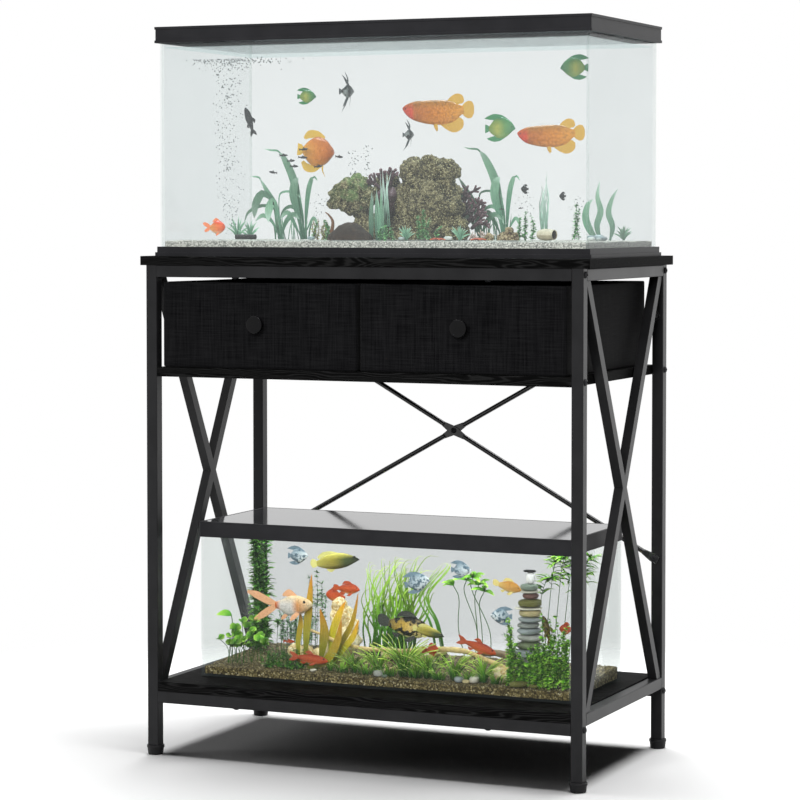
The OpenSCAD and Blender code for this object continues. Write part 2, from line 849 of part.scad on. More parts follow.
module lower_stones() {
    color("#8f8d7c") {
        for (i = [0 : len(stack_t) - 1])
            translate([stack_x + 2 * sin(i * 110), stack_y + 2 * cos(i * 95), stack_z(i)])
                flat_stone(stack_r[i], stack_t[i]);
        for (s = [[-8, -124, 11, 14], [160, -122, 13, 12], [190, -118, 14, 16], [285, -126, 14, 10],
            [322, -122, 13, 9]])
            translate([s[0], s[1], low_ground(s[1]) + 2])
                flat_stone(s[2], s[3]);
    }
}

// Every entry is [x, y, root radius, top radius, height]
module lower_plants() {
    color("#3f7d35")
        for (p = [[-350, 40, 22, 18, 205], [-325, -95, 14, 22, 80], [-268, -100, 20, 18, 28],
            [-225, -85, 20, 18, 34], [-175, 60, 14, 20, 150], [-135, 65, 14, 20, 170],
            [-60, 70, 18, 24, 150], [-10, 75, 12, 18, 130], [100, 60, 8, 14, 130],
            [140, 60, 8, 14, 110], [235, 40, 10, 16, 170], [350, -70, 16, 18, 110],
            [375, 40, 12, 16, 190], [30, -118, 10, 12, 24], [80, -118, 10, 12, 28],
            [235, -118, 10, 12, 24]])
            plant([p[0], p[1], low_ground(p[1] + p[2]) + 2, p[2], p[3], p[4]]);
}

// ---------- nodes ----------

tabletop();
post(-1, -1);  // post_front_left
post(1, -1);  // post_front_right
post(-1, 1);  // post_back_left
post(1, 1);  // post_back_right
long_rail(-post_y, top_rail_z);  // rail_top_front
long_rail(post_y, top_rail_z);  // rail_top_back
long_rail(-post_y, bottom_rail_z);  // rail_bottom_front
long_rail(post_y, bottom_rail_z);  // rail_bottom_back
side_rail(-1, top_rail_z);  // side_rail_top_left
side_rail(1, top_rail_z);  // side_rail_top_right
side_rail(-1, side_rail_z);  // side_rail_bottom_left
side_rail(1, side_rail_z);  // side_rail_bottom_right
side_brace(-1);  // side_brace_left
side_brace(1);  // side_brace_right
side_brace_halves(-1);  // side_brace_halves_left
side_brace_halves(1);  // side_brace_halves_right
rear_rod_falling();
rear_rod_rising();
rear_rod_bolts();
frame_bolts();
board_screws(top_rail_z);  // top_screws
board_screws(bottom_rail_z);  // shelf_screws
drawer_shelf();
lower_shelf();
foot(-1, -1);  // foot_front_left
foot(1, -1);  // foot_front_right
foot(-1, 1);  // foot_back_left
foot(1, 1);  // foot_back_right
foot_inserts();
drawer_box(-1);  // drawer_left_box
drawer_base(-1);  // drawer_left_base
drawer_knob(-1);  // drawer_left_knob
drawer_knob_screw(-1);  // drawer_left_knob_screw
drawer_box(1);  // drawer_right_box
drawer_base(1);  // drawer_right_base
drawer_knob(1);  // drawer_right_knob
drawer_knob_screw(1);  // drawer_right_knob_screw
upper_base_trim();
upper_glass_bottom();
upper_glass_long(-1);  // upper_glass_front
upper_glass_long(1);  // upper_glass_back
upper_glass_sides();
upper_top_trim();
upper_lid_rear();
upper_lid_flap();
upper_gravel();
upper_rocks();
upper_ornaments();
upper_plants();
lower_glass_bottom();
lower_glass_long(-1);  // lower_glass_front
lower_glass_long(1);  // lower_glass_back
lower_glass_sides();
lower_lid_frame();
lower_lid_panel();
lower_gravel();
lower_driftwood();
lower_stones();
lower_plants();
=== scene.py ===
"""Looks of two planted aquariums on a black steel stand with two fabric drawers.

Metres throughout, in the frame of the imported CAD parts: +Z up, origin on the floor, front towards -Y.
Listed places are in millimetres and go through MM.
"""

import itertools
import json
import math

import bpy
import numpy as np
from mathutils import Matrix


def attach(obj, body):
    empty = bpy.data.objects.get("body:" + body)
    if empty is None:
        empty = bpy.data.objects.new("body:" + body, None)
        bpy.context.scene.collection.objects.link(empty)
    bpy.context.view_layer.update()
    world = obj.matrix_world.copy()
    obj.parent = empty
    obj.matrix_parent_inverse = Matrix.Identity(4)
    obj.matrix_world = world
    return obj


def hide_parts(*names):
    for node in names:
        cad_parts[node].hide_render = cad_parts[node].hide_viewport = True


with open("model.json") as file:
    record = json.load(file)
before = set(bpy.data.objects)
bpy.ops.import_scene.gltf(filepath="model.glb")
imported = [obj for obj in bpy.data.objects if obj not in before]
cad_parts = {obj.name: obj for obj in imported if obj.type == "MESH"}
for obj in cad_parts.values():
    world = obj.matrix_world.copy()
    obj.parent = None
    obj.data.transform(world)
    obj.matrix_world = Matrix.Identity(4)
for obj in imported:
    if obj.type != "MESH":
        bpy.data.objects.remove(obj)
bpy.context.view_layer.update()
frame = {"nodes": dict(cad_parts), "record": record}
MM = 0.001
UPPER_GROUND = 1014.0  # top of the upper tank's gravel, in millimetres


# ---------- numbers, noise and small tools ----------


def unit(v):
    """Vectors along the last axis, each divided by its length."""
    return v / np.maximum(np.linalg.norm(v, axis=-1, keepdims=True), 1e-9)


def lattice(corner, seed):
    """A repeatable random number from 0 to 1 for every whole-number corner (x, y, z)."""
    mixed = corner[..., 0] * 374761393 + corner[..., 1] * 668265263 + corner[..., 2] * 1442695041 + seed * 97
    mixed = (mixed ^ (mixed >> 13)) * 1274126177
    return ((mixed ^ (mixed >> 16)) & 0xFFFF) / 65535.0


def noise(points, seed):
    """Value noise from -1 to 1: lattice numbers at the eight corners round a point, blended by smoothstep."""
    low = np.floor(points).astype(np.int64)
    share = points - low
    share = share * share * (3 - 2 * share)
    total = 0
    for step in itertools.product((0, 1), repeat=3):
        weight = np.prod(np.where(step, share, 1 - share), axis=-1)
        total = total + weight * lattice(low + np.array(step), seed)
    return 2 * total - 1


def rough(points, seed, octaves):
    """Fractal noise: octaves of value noise, each twice as fine and half as strong."""
    return sum(noise(points * 2**k, seed + k) / 2**k for k in range(octaves))


def cells(points, seed):
    """Distance to the nearest random point, where every unit cell of space holds one, and its number."""
    low = np.floor(points).astype(np.int64)
    best = np.full(points.shape[:-1], 9.0)
    number = np.zeros(points.shape[:-1])
    for step in itertools.product((-1, 0, 1), repeat=3):
        cell = low + np.array(step)
        place = cell + np.stack([lattice(cell, seed + k) for k in (1, 2, 3)], axis=-1)
        far = np.linalg.norm(points - place, axis=-1)
        number = np.where(far < best, lattice(cell, seed + 4), number)
        best = np.minimum(best, far)
    return best, number


def curve(points, count):
    """A smooth line of count points through given ones: cubic Hermite with slopes from the neighbours."""
    points = np.asarray(points, float)
    slope = np.gradient(points, axis=0)
    at = np.linspace(0, len(points) - 1, count)
    k = np.minimum(at.astype(int), len(points) - 2)
    t = (at - k)[:, None]
    a, b, da, db = points[k], points[k + 1], slope[k], slope[k + 1]
    return ((2 * t**3 - 3 * t**2 + 1) * a + (t**3 - 2 * t**2 + t) * da + (3 * t**2 - 2 * t**3) * b + (t**3 - t**2) * db)


def tapered(rows, count):
    """A smooth line of count points through rows of (x, y, z, half width), and its half widths."""
    rows = np.array(rows, float)
    return curve(rows[:, :3], count), np.interp(np.linspace(0, len(rows) - 1, count), np.arange(len(rows)), rows[:, 3])


# ---------- surfaces ----------
# A part is (points, faces, marks): faces are rows of four point numbers, with -1 last on a triangle, and
# marks are three numbers a point that the material reads: along the shape, a tone that is random per shape
# (on rock lumps it is painted light on crests and painted shade in pits, and on the jar painted shade
# inside and painted light on its upper half), and kind.


def ring_faces(rows, sides):
    """Faces of a tube of rows of sides points, with a fan at each end: the first fan's middle is the point
    after all the rows, and the last fan's the one after that."""
    i, j = np.meshgrid(np.arange(rows - 1), np.arange(sides), indexing="ij")
    here, over = i * sides + j, i * sides + (j + 1) % sides
    skin = np.stack([here, here + sides, over + sides, over], axis=-1).reshape(-1, 4)
    j, none = np.arange(sides), np.full(sides, -1)
    over, last = (j + 1) % sides, (rows - 1) * sides
    first_fan = np.stack([np.full(sides, rows * sides), j, over, none], axis=-1)
    last_fan = np.stack([np.full(sides, rows * sides + 1), last + over, last + j, none], axis=-1)
    return np.concatenate([skin, first_fan, last_fan])


def sweep(path, wide, thick, sides, facing, shade=0.5, kind=0.0, fold=0.0):
    """Elliptical section carried along a path: point = path + wide cos(a) side + thick sin(a) normal.

    side is the tangent crossed with facing. fold lifts the two edges by that share of wide. Both ends
    close in a point.
    """
    path = np.asarray(path, float)
    count = len(path)
    wide = np.broadcast_to(wide, count)[:, None, None]
    thick = np.broadcast_to(thick, count)[:, None, None]
    tangent = unit(np.gradient(path, axis=0))
    side = unit(np.cross(tangent, np.broadcast_to(facing, path.shape)))
    normal = np.cross(side, tangent)
    a = 2 * np.pi * np.arange(sides) / sides
    c, s = np.cos(a)[None, :, None], np.sin(a)[None, :, None]
    ring = path[:, None] + wide * c * side[:, None] + (thick * s + fold * wide * c * c) * normal[:, None]
    points = np.concatenate([ring.reshape(-1, 3), path[:1], path[-1:]])
    along = np.append(np.repeat(np.linspace(0, 1, count), sides), [0, 1])
    marks = np.stack([along, np.full_like(along, shade), np.full_like(along, kind)], axis=-1)
    return points, ring_faces(count, sides), marks


def ball(centre, radii, sides, rings, shade=0.5, kind=0.0):
    """Ellipsoid: rings of points at centre + radii (sin p cos a, sin p sin a, cos p), closed at both poles."""
    p = np.linspace(0.02, np.pi - 0.02, rings)
    height = np.stack([np.zeros(rings), np.zeros(rings), -np.cos(p)], axis=-1)
    points, faces, marks = sweep(height, np.sin(p), np.sin(p), sides, (0, 1, 0), shade, kind)
    return points * np.broadcast_to(radii, 3) + np.asarray(centre), faces, marks


def joined(parts):
    """Several parts as one: points stacked, and face numbers moved on by the points before them."""
    starts = np.cumsum([0] + [len(p[0]) for p in parts[:-1]])
    faces = [np.where(p[1] < 0, -1, p[1] + start) for p, start in zip(parts, starts)]
    return np.concatenate([p[0] for p in parts]), np.concatenate(faces), np.concatenate([p[2] for p in parts])


def turned(yaw, pitch=0.0, roll=0.0):
    """Rotation matrices that roll about X, then pitch about Y, then yaw about Z, in radians."""
    yaw, pitch, roll = np.broadcast_arrays(*(np.asarray(v, float) for v in (yaw, pitch, roll)))
    zero, one = np.zeros_like(yaw), np.ones_like(yaw)

    def matrix(*rows):
        return np.stack([np.stack(r, axis=-1) for r in rows], axis=-2)

    c, s = np.cos, np.sin
    about_x = matrix((one, zero, zero), (zero, c(roll), -s(roll)), (zero, s(roll), c(roll)))
    about_y = matrix((c(pitch), zero, s(pitch)), (zero, one, zero), (-s(pitch), zero, c(pitch)))
    about_z = matrix((c(yaw), -s(yaw), zero), (s(yaw), c(yaw), zero), (zero, zero, one))
    return about_z @ about_y @ about_x


def copies(part, places, turns, sizes, shades=None):
    """One part repeated: every copy is its place + turn times size times the part's points."""
    points, faces, marks = part
    places = np.asarray(places, float)
    count = len(places)
    sizes = np.broadcast_to(np.asarray(sizes, float).reshape(-1, 1) if np.ndim(sizes) < 2 else sizes, (count, 3))
    moved = np.einsum("nij,npj->npi", turns, points[None] * sizes[:, None]) + places[:, None]
    shifts = (np.arange(count) * len(points))[:, None, None]
    numbers = np.where(faces < 0, -1, faces[None] + shifts)
    marked = np.repeat(marks[None], count, axis=0)
    if shades is not None:
        marked[:, :, 1] = np.asarray(shades)[:, None]
    return moved.reshape(-1, 3), numbers.reshape(-1, 4), marked.reshape(-1, 3)


def sheet_part(points):
    """Open surface from a grid of points: one quad between every four neighbours."""
    rows, columns = points.shape[:2]
    i, j = np.meshgrid(np.arange(rows - 1), np.arange(columns - 1), indexing="ij")
    here = i * columns + j
    faces = np.stack([here, here + columns, here + columns + 1, here + 1], axis=-1).reshape(-1, 4)
    points = points.reshape(-1, 3)
    return points, faces, np.full_like(points, 0.5)


def slab_part(top, floor_z):
    """Closed block under a grid of top points: the grid, a skirt round its rim and a flat fan as its floor."""
    rows, columns = top.shape[:2]
    points, faces, _ = sheet_part(top)
    count = rows * columns
    rim = np.concatenate(
        [
            np.arange(columns), np.arange(1, rows) * columns + columns - 1,
            (rows - 1) * columns + np.arange(columns - 2, -1, -1), np.arange(rows - 2, 0, -1) * columns,
        ]
    )
    low = points[rim] * (1, 1, 0) + (0, 0, floor_z)
    k = np.arange(len(rim))
    after = (k + 1) % len(rim)
    skirt = np.stack([rim, rim[after], count + after, count + k], axis=-1)
    fan = np.stack([count + k, count + after, np.full(len(rim), count + len(rim)), np.full(len(rim), -1)], axis=-1)
    points = np.concatenate([points, low, low.mean(axis=0, keepdims=True)])
    return points, np.concatenate([faces, skirt, fan]), np.full_like(points, 0.5)


def fill_mesh(mesh, part, scale=MM):
    """Writes a part into a mesh with foreach_set, its marks as the point attribute named mark."""
    points, faces, marks = part
    real = faces >= 0
    sizes = real.sum(1)
    mesh.vertices.add(len(points))
    mesh.vertices.foreach_set("co", (points * scale).astype(np.float32).ravel())
    mesh.loops.add(int(sizes.sum()))
    mesh.polygons.add(len(faces))
    mesh.polygons.foreach_set("loop_start", np.concatenate([[0], np.cumsum(sizes)[:-1]]).astype(np.int32))
    mesh.polygons.foreach_set("vertices", faces[real].astype(np.int32))
    mesh.attributes.new("mark", "FLOAT_VECTOR", "POINT").data.foreach_set("vector", marks.astype(np.float32).ravel())
    mesh.update(calc_edges=True)
    mesh.validate()


def piece(name, parts, finish, body="stand", replaces=()):
    """A new object from parts, which rides on a CAD body and takes the finish it is given."""
    mesh = bpy.data.meshes.new(name)
    fill_mesh(mesh, joined(parts) if isinstance(parts, list) else parts)
    mesh.polygons.foreach_set("use_smooth", np.ones(len(mesh.polygons), bool))
    mesh.set_sharp_from_angle(angle=math.radians(50))
    mesh.materials.append(finish)
    made = bpy.data.objects.new(name, mesh)
    bpy.context.scene.collection.objects.link(made)
    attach(made, body)
    if replaces:
        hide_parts(*replaces)
    return made


# ---------- shader tools ----------


def colour(code):
    """sRGB hex to linear red, green, blue and alpha."""
    part = np.array([int(code[k : k + 2], 16) for k in (1, 3, 5)]) / 255
    linear = np.where(part <= 0.04045, part / 12.92, ((part + 0.055) / 1.055) ** 2.4)
    return (*linear.tolist(), 1.0)


def add(tree, kind, sockets=None, stops=None, **settings):
    """Adds a shader node with its settings, and sets or links its inputs: a node given for an input stands for
    its first output. stops are a colour ramp's."""
    made = tree.nodes.new("ShaderNode" + kind)
    for key, value in settings.items():
        setattr(made, key, value)
    for key, value in (sockets or {}).items():
        if isinstance(value, bpy.types.Node):
            value = value.outputs[0]
        if isinstance(value, bpy.types.NodeSocket):
            tree.links.new(value, made.inputs[key])
        else:
            made.inputs[key].default_value = value
    for k, (place, code) in enumerate(stops or ()):
        stop = made.color_ramp.elements[k] if k < 2 else made.color_ramp.elements.new(place)
        stop.position, stop.color = place, colour(code)
    return made


def started(name):
    """A material with an empty tree, and the tree."""
    made = bpy.data.materials.new(name)
    made.use_nodes = True
    made.node_tree.nodes.clear()
    return made, made.node_tree


def closed(made, kind, sockets):
    """Ends a material with its shader and output, and gives it back."""
    shader = add(made.node_tree, kind, sockets)
    add(made.node_tree, "OutputMaterial", {"Surface": shader})
    return made


# ---------- stand ----------


def powder_coated_steel(name, base, streak, shine=0.16, dull=0.36):
    """Polyester powder baked on mild steel tube: satin black with a fine orange peel of about 1.2 mm,
    and slight cloudiness in its gloss."""
    made, tree = started(name)
    place = add(tree, "TexCoord").outputs["Object"]
    peel = add(tree, "TexNoise", {"Vector": place, "Scale": 1 / (1.2 * MM), "Detail": 2.0})
    cloud = add(tree, "TexNoise", {"Vector": place, "Scale": 1 / (60 * MM), "Detail": 3.0})
    tone = add(tree, "ValToRGB", {"Fac": cloud}, stops=[(0.35, base), (0.65, streak)])
    gloss = add(tree, "MapRange", {"Value": cloud, "To Min": dull, "To Max": dull + 0.1})
    corner = add(tree, "Bevel", {"Radius": 1.0 * MM})
    bump = add(tree, "Bump", {"Height": peel, "Strength": 0.12, "Distance": 0.06 * MM, "Normal": corner})
    return closed(
        made, "BsdfPrincipled", {"Base Color": tone, "Roughness": gloss, "Normal": bump, "Specular IOR Level": shine}
    )


def wood_grain_laminate():
    """Black melamine paper pressed on chipboard with a grained plate: long wavy grain lines 3 to 6 mm
    apart that show as faint ridges, a little lighter on their crests."""
    made, tree = started("black_wood_grain_laminate")
    place = add(tree, "TexCoord").outputs["Object"]
    stretched = add(tree, "Mapping", {"Vector": place, "Scale": (1.6, 9.0, 14.0)})
    drift = add(tree, "TexNoise", {"Vector": stretched, "Scale": 2.2, "Detail": 2.0})
    bent = add(tree, "VectorMath", {0: stretched, 1: drift.outputs["Color"]}, operation="ADD")
    grain = add(
        tree, "TexWave", {"Vector": bent, "Scale": 5.5, "Distortion": 5.0, "Detail": 3.0, "Detail Scale": 1.4},
        bands_direction="Z",
    )
    pores = add(tree, "Mapping", {"Vector": place, "Scale": (40.0, 900.0, 900.0)})
    fine = add(tree, "TexNoise", {"Vector": pores, "Scale": 1.0, "Detail": 3.0})
    tone = add(
        tree, "ValToRGB", {"Fac": grain.outputs["Fac"]}, stops=[(0.0, "#050505"), (0.55, "#0a0a0a"), (1.0, "#1b1b1b")]
    )
    height = add(tree, "Math", {0: grain.outputs["Fac"], 1: fine}, operation="ADD")
    bump = add(tree, "Bump", {"Height": height, "Strength": 0.35, "Distance": 0.3 * MM})
    return closed(
        made, "BsdfPrincipled", {"Base Color": tone, "Roughness": 0.7, "Normal": bump, "Specular IOR Level": 0.03}
    )


def moulded_plastic(name, base, light, roughness, pebble_mm=0.9, shine=0.25):
    """Injection-moulded ABS with a spark-eroded texture: fine pebble of under a millimetre, satin shine."""
    made, tree = started(name)
    place = add(tree, "TexCoord").outputs["Object"]
    pebble = add(tree, "TexNoise", {"Vector": place, "Scale": 1 / (pebble_mm * MM), "Detail": 2.0})
    flow = add(tree, "TexNoise", {"Vector": place, "Scale": 1 / (45 * MM), "Detail": 2.0})
    tone = add(tree, "ValToRGB", {"Fac": flow}, stops=[(0.3, base), (0.7, light)])
    corner = add(tree, "Bevel", {"Radius": 0.8 * MM})
    bump = add(tree, "Bump", {"Height": pebble, "Strength": 0.15, "Distance": 0.05 * MM, "Normal": corner})
    return closed(
        made, "BsdfPrincipled",
        {"Base Color": tone, "Roughness": roughness, "Normal": bump, "Specular IOR Level": shine},
    )


def plated_steel(name, base, roughness):
    """Turned and plated steel: metal with rings of fine tool marks that stretch the highlight."""
    made, tree = started(name)
    place = add(tree, "TexCoord").outputs["Object"]
    marks = add(tree, "TexNoise", {"Vector": place, "Scale": 1 / (0.6 * MM), "Detail": 1.0})
    gloss = add(tree, "MapRange", {"Value": marks, "To Min": roughness - 0.06, "To Max": roughness + 0.08})
    return closed(
        made, "BsdfPrincipled", {"Base Color": colour(base), "Metallic": 1.0, "Roughness": gloss, "Anisotropic": 0.3}
    )


# ---------- tanks ----------


def float_glass(name, across, tint, film):
    """Soda-lime float glass, IOR 1.52: clear, and a mirror at a shallow angle, where it reflects
    0.003 + 0.25 (1 - cos)^5 at each face, the share left when water wets the other. Only the ground edges,
    whose normal isn't along the axis across, show the grey-green of the iron in it. film is the share that
    haze and hard-water bloom hide."""
    made, tree = started(name)
    coords = add(tree, "TexCoord")
    waves = add(tree, "TexNoise", {"Vector": coords.outputs["Object"], "Scale": 1 / (90 * MM), "Detail": 2.0})
    bloom = add(tree, "MapRange", {"Value": waves, "To Min": film * 0.6, "To Max": film * 1.4})
    clear = add(tree, "BsdfTransparent", {"Color": colour(tint)})
    haze = add(tree, "BsdfDiffuse", {"Color": colour("#e9f0f0")})
    mirror = add(tree, "BsdfGlossy", {"Color": colour("#ffffff"), "Roughness": 0.02})
    body = add(tree, "MixShader", {"Fac": bloom, 1: clear, 2: haze})
    facing = add(tree, "LayerWeight", {"Blend": 0.5})
    steep = add(tree, "Math", {0: facing.outputs["Facing"], 1: 5.0}, operation="POWER")
    share = add(tree, "MapRange", {"Value": steep, "To Min": 0.003, "To Max": 0.25})
    pane = add(tree, "MixShader", {"Fac": share, 1: body, 2: mirror})
    way = add(tree, "SeparateXYZ", {"Vector": coords.outputs["Normal"]})
    flat = add(tree, "Math", {0: way.outputs[across]}, operation="ABSOLUTE")
    broad = add(tree, "Math", {0: flat, 1: 0.5}, operation="GREATER_THAN")
    through = add(tree, "BsdfTransparent", {"Color": colour("#f9fbfa")})
    ground = add(tree, "BsdfPrincipled", {"Base Color": colour("#b9cdc9"), "Roughness": 0.25, "IOR": 1.52})
    edge = add(tree, "MixShader", {"Fac": 0.03, 1: through, 2: ground})
    return closed(made, "MixShader", {"Fac": broad, 1: edge, 2: pane})


# ---------- drawers ----------


def drawer_sleeve(sx):
    """Linen-covered drawer box: a rounded rectangle of half sizes a, b carried up a profile that runs from
    the middle of the underside, up the outer wall, over the rim and down the inner wall to its middle.
    The outer wall bows out by bow sin(pi u) sin(pi v), and the rim dips a little between the corners. A row
    of the profile is (inset, height, wall), where wall is 1 outside and 2 inside."""
    x0, x1 = sorted((sx * 3.3, sx * 420.7))
    y0, y1 = -236.0, 209.0
    floor, lining, top = 766.0, 770.4, 932.6
    rise = np.linspace(floor + 3.5, top - 4, 16)
    fall = np.linspace(top - 4, lining + 3.1, 10)
    rows = [(190, floor, 0), (90, floor, 0), (30, floor, 0), (8, floor, 0), (3.5, floor, 0), (1.2, floor + 1.2, 0)]
    rows += [(0, z, 1) for z in rise]
    rows += [(0.4, top - 1.6, 0), (1.4, top - 0.4, 0), (2.2, top, 0), (3.0, top - 0.4, 0)]
    rows += [(4.0, z, 2) for z in fall]
    rows += [(4.8, lining + 1.2, 2), (6.5, lining, 2), (30, lining, 2), (90, lining, 2), (190, lining, 2)]
    inset, height, wall = (np.array(column, float) for column in zip(*rows))
    per_side, per_corner = 26, 5
    ring_x, ring_y, ring_nx, ring_ny, ring_u = [], [], [], [], []
    corner = np.linspace(0, np.pi / 2, per_corner)
    straight = np.linspace(0, 1, per_side + 2)[1:-1]
    for quarter in range(4):
        angle = quarter * np.pi / 2 + corner
        ring_nx += list(np.cos(angle)) + [math.cos((quarter + 1) * np.pi / 2)] * per_side
        ring_ny += list(np.sin(angle)) + [math.sin((quarter + 1) * np.pi / 2)] * per_side
        here = np.array([(1, 1), (-1, 1), (-1, -1), (1, -1)][quarter], float)
        there = np.array([(-1, 1), (-1, -1), (1, -1), (1, 1)][quarter], float)
        way = here + (there - here) * straight[:, None]
        ring_x += [here[0]] * per_corner + list(way[:, 0])
        ring_y += [here[1]] * per_corner + list(way[:, 1])
        ring_u += [0.0] * per_corner + list(straight)
    ring_x, ring_y, ring_nx, ring_ny, ring_u = map(np.array, (ring_x, ring_y, ring_nx, ring_ny, ring_u))
    front = np.where((wall == 2) | (inset > 4.5) & (height > 769), 4.0, 0.0)
    low_x, high_x = x0 + inset, x1 - inset
    low_y, high_y = y0 + inset + front, y1 - inset
    round_off = np.clip(6.0 - inset, 1.2, 6.0)
    mid_x, mid_y = (low_x + high_x) / 2, (low_y + high_y) / 2
    half_x, half_y = (high_x - low_x) / 2 - round_off, (high_y - low_y) / 2 - round_off
    x = mid_x[:, None] + half_x[:, None] * ring_x + round_off[:, None] * ring_nx
    y = mid_y[:, None] + half_y[:, None] * ring_y + round_off[:, None] * ring_ny
    v = np.clip((height - floor) / (top - floor), 0, 1)
    bow = 0.7 * (wall == 1)[:, None] * np.sin(np.pi * v)[:, None] * np.sin(np.pi * ring_u)
    x, y = x + bow * ring_nx, y + bow * ring_ny
    z = np.broadcast_to(height[:, None], x.shape) - 0.8 * (v > 0.95)[:, None] * np.sin(np.pi * ring_u) ** 2
    grid = np.stack([x, y, z], axis=-1)
    count, around = grid.shape[:2]
    middle = grid[[0, -1]].mean(axis=1)
    points = np.concatenate([grid.reshape(-1, 3), middle])
    marks = np.zeros_like(points)
    marks[:, 2] = np.append(np.repeat(wall, around), [0, 2])
    turned_out = [0, 3, 2, 1]  # the profile runs the other way round from a tube's
    return points, ring_faces(count, around)[:, turned_out], marks


def slub_linen(base, crest):
    """Black polyester linen with slubs: plain weave whose thick and thin threads show as broken lines both
    ways, 2 mm apart where the real threads are 0.6 mm, so that they show; dull with a faint sheen."""
    made, tree = started("black_slub_linen")
    place = add(tree, "TexCoord").outputs["Object"]
    lines = []
    for stretch in ((1 / (1.9 * MM), 1 / (1.9 * MM), 1 / (70 * MM)), (1 / (60 * MM), 1 / (60 * MM), 1 / (1.9 * MM))):
        drawn = add(tree, "Mapping", {"Vector": place, "Scale": stretch})
        lines.append(add(tree, "TexNoise", {"Vector": drawn, "Scale": 1.0, "Detail": 2.0}))
    both = add(tree, "Math", {0: lines[0], 1: lines[1]}, operation="ADD")
    thread = add(tree, "TexNoise", {"Vector": place, "Scale": 1 / (0.7 * MM), "Detail": 1.0})
    height = add(tree, "Math", {0: both, 1: thread}, operation="ADD")
    level = add(tree, "Math", {0: both, 1: 0.5}, operation="MULTIPLY")
    tone = add(tree, "ValToRGB", {"Fac": level}, stops=[(0.36, base), (0.66, crest)])
    bump = add(tree, "Bump", {"Height": height, "Strength": 0.5, "Distance": 0.25 * MM})
    return closed(
        made, "BsdfPrincipled",
        {
            "Base Color": tone, "Roughness": 0.85, "Normal": bump, "Specular IOR Level": 0.06, "Sheen Weight": 0.02,
            "Sheen Roughness": 0.5,
        },
    )


def sew_drawers():
    """Both covered drawers: each a linen sleeve that runs over the floor, up the four walls and down them
    inside again for its lining, in place of the drawer's box."""
    linen = slub_linen("#040405", "#181819")
    for side, sx in (("left", -1), ("right", 1)):
        made = piece(
            f"drawer_{side}_cover", drawer_sleeve(sx), linen, f"drawer_{side}", [f"drawer_{side}_box"]
        )


# ---------- gravel, rock and stone ----------


def pebble_bed(low, high, floor, top, grain, relief, step, seed):
    """Bed of pebbles between two corners: height = top(y) + relief (0.4 - (d / 0.62)^2) + a slow drift, with d
    the distance to the nearest pebble's middle, so that every grain is a little dome. shade is its number."""
    x = np.linspace(low[0], high[0], int((high[0] - low[0]) / step))
    y = np.linspace(low[1], high[1], int((high[1] - low[1]) / step))
    x, y = np.meshgrid(x, y, indexing="ij")
    flat = np.stack([x, y, np.zeros_like(x)], axis=-1) / grain
    d, number = cells(flat + 0.35 * noise(flat[..., [1, 0, 2]] * 0.7, seed)[..., None], seed)
    dome = np.clip(1 - (d / 0.62) ** 2, -0.6, 1)
    drift = 0.35 * relief * rough(flat * grain / 60, seed + 5, 3)
    z = top(y) + relief * (dome - 0.6) + drift
    points, faces, marks = slab_part(np.stack([x, y, z], axis=-1), floor)
    marks[: number.size, 1] = number.ravel()
    return points, faces, marks


def loose_gravel(name, stops, grain, roughness):
    """Washed aquarium gravel, natural and coated grains mixed: each grain of the given size in mm takes its
    own tone, is darkened by painted shade where it meets the next, and is finely pitted and half matt."""
    made, tree = started(name)
    place = add(tree, "TexCoord").outputs["Object"]
    grains = add(tree, "TexVoronoi", {"Vector": place, "Scale": 1 / (grain * MM)})
    own = add(tree, "SeparateXYZ", {"Vector": grains.outputs["Color"]})
    grit = add(tree, "TexNoise", {"Vector": place, "Scale": 1 / (1.6 * MM), "Detail": 3.0})
    mixed = add(tree, "Math", {0: own.outputs["X"], 1: grit}, operation="ADD")
    half = add(tree, "Math", {0: mixed, 1: 0.5}, operation="MULTIPLY")
    tone = add(tree, "ValToRGB", {"Fac": half}, stops=stops)
    # painted shade: each grain's tone darkens towards its edge, where it meets the next grain
    painted_crevice_shade = add(tree, "MapRange", {"Value": grains, "From Min": 0.35, "From Max": 0.75, "To Min": 1.0, "To Max": 0.45})
    shaded = add(tree, "VectorMath", {0: tone, "Scale": painted_crevice_shade}, operation="SCALE")
    height = add(tree, "Math", {0: grit, 1: grains}, operation="SUBTRACT")
    bump = add(tree, "Bump", {"Height": height, "Strength": 0.6, "Distance": 0.8 * MM})
    return closed(
        made, "BsdfPrincipled",
        {"Base Color": shaded, "Roughness": roughness, "Normal": bump, "Specular IOR Level": 0.4},
    )


def rock_lumps(lumps, base, relief, grain, seed, sides=40, rings=26):
    """Rock of overlapping lumps: each is a ball whose radius grows by relief times fractal noise of the
    point's own place, less round pits where a cell's middle is near. base is the lowest height allowed, and
    a lump's fifth number is how mossy it is."""
    parts = []
    for x, y, z, r, *moss in lumps:
        points, faces, marks = ball((0, 0, 0), 1.0, sides, rings, 0.5, *(moss or (0.0,)))
        at = points * r + (x, y, z)
        swell = relief * rough(at / (grain * 3.2), seed, 5) + 0.05 * noise(at / 2.6, seed + 9)
        pits = np.clip(0.42 - cells(at / grain, seed + 3)[0], 0, 1)
        points = (x, y, z) + points * (r * (1 + swell) - 5.0 * pits)[:, None]
        points[:, 2] = np.maximum(points[:, 2], base)
        # tone mark: painted light on the lumps' crests and painted shade in their pits
        marks[:, 1] = np.clip(0.5 + 0.22 * swell / relief - 1.0 * pits, 0, 1)
        parts.append((points, faces, marks))
    return parts


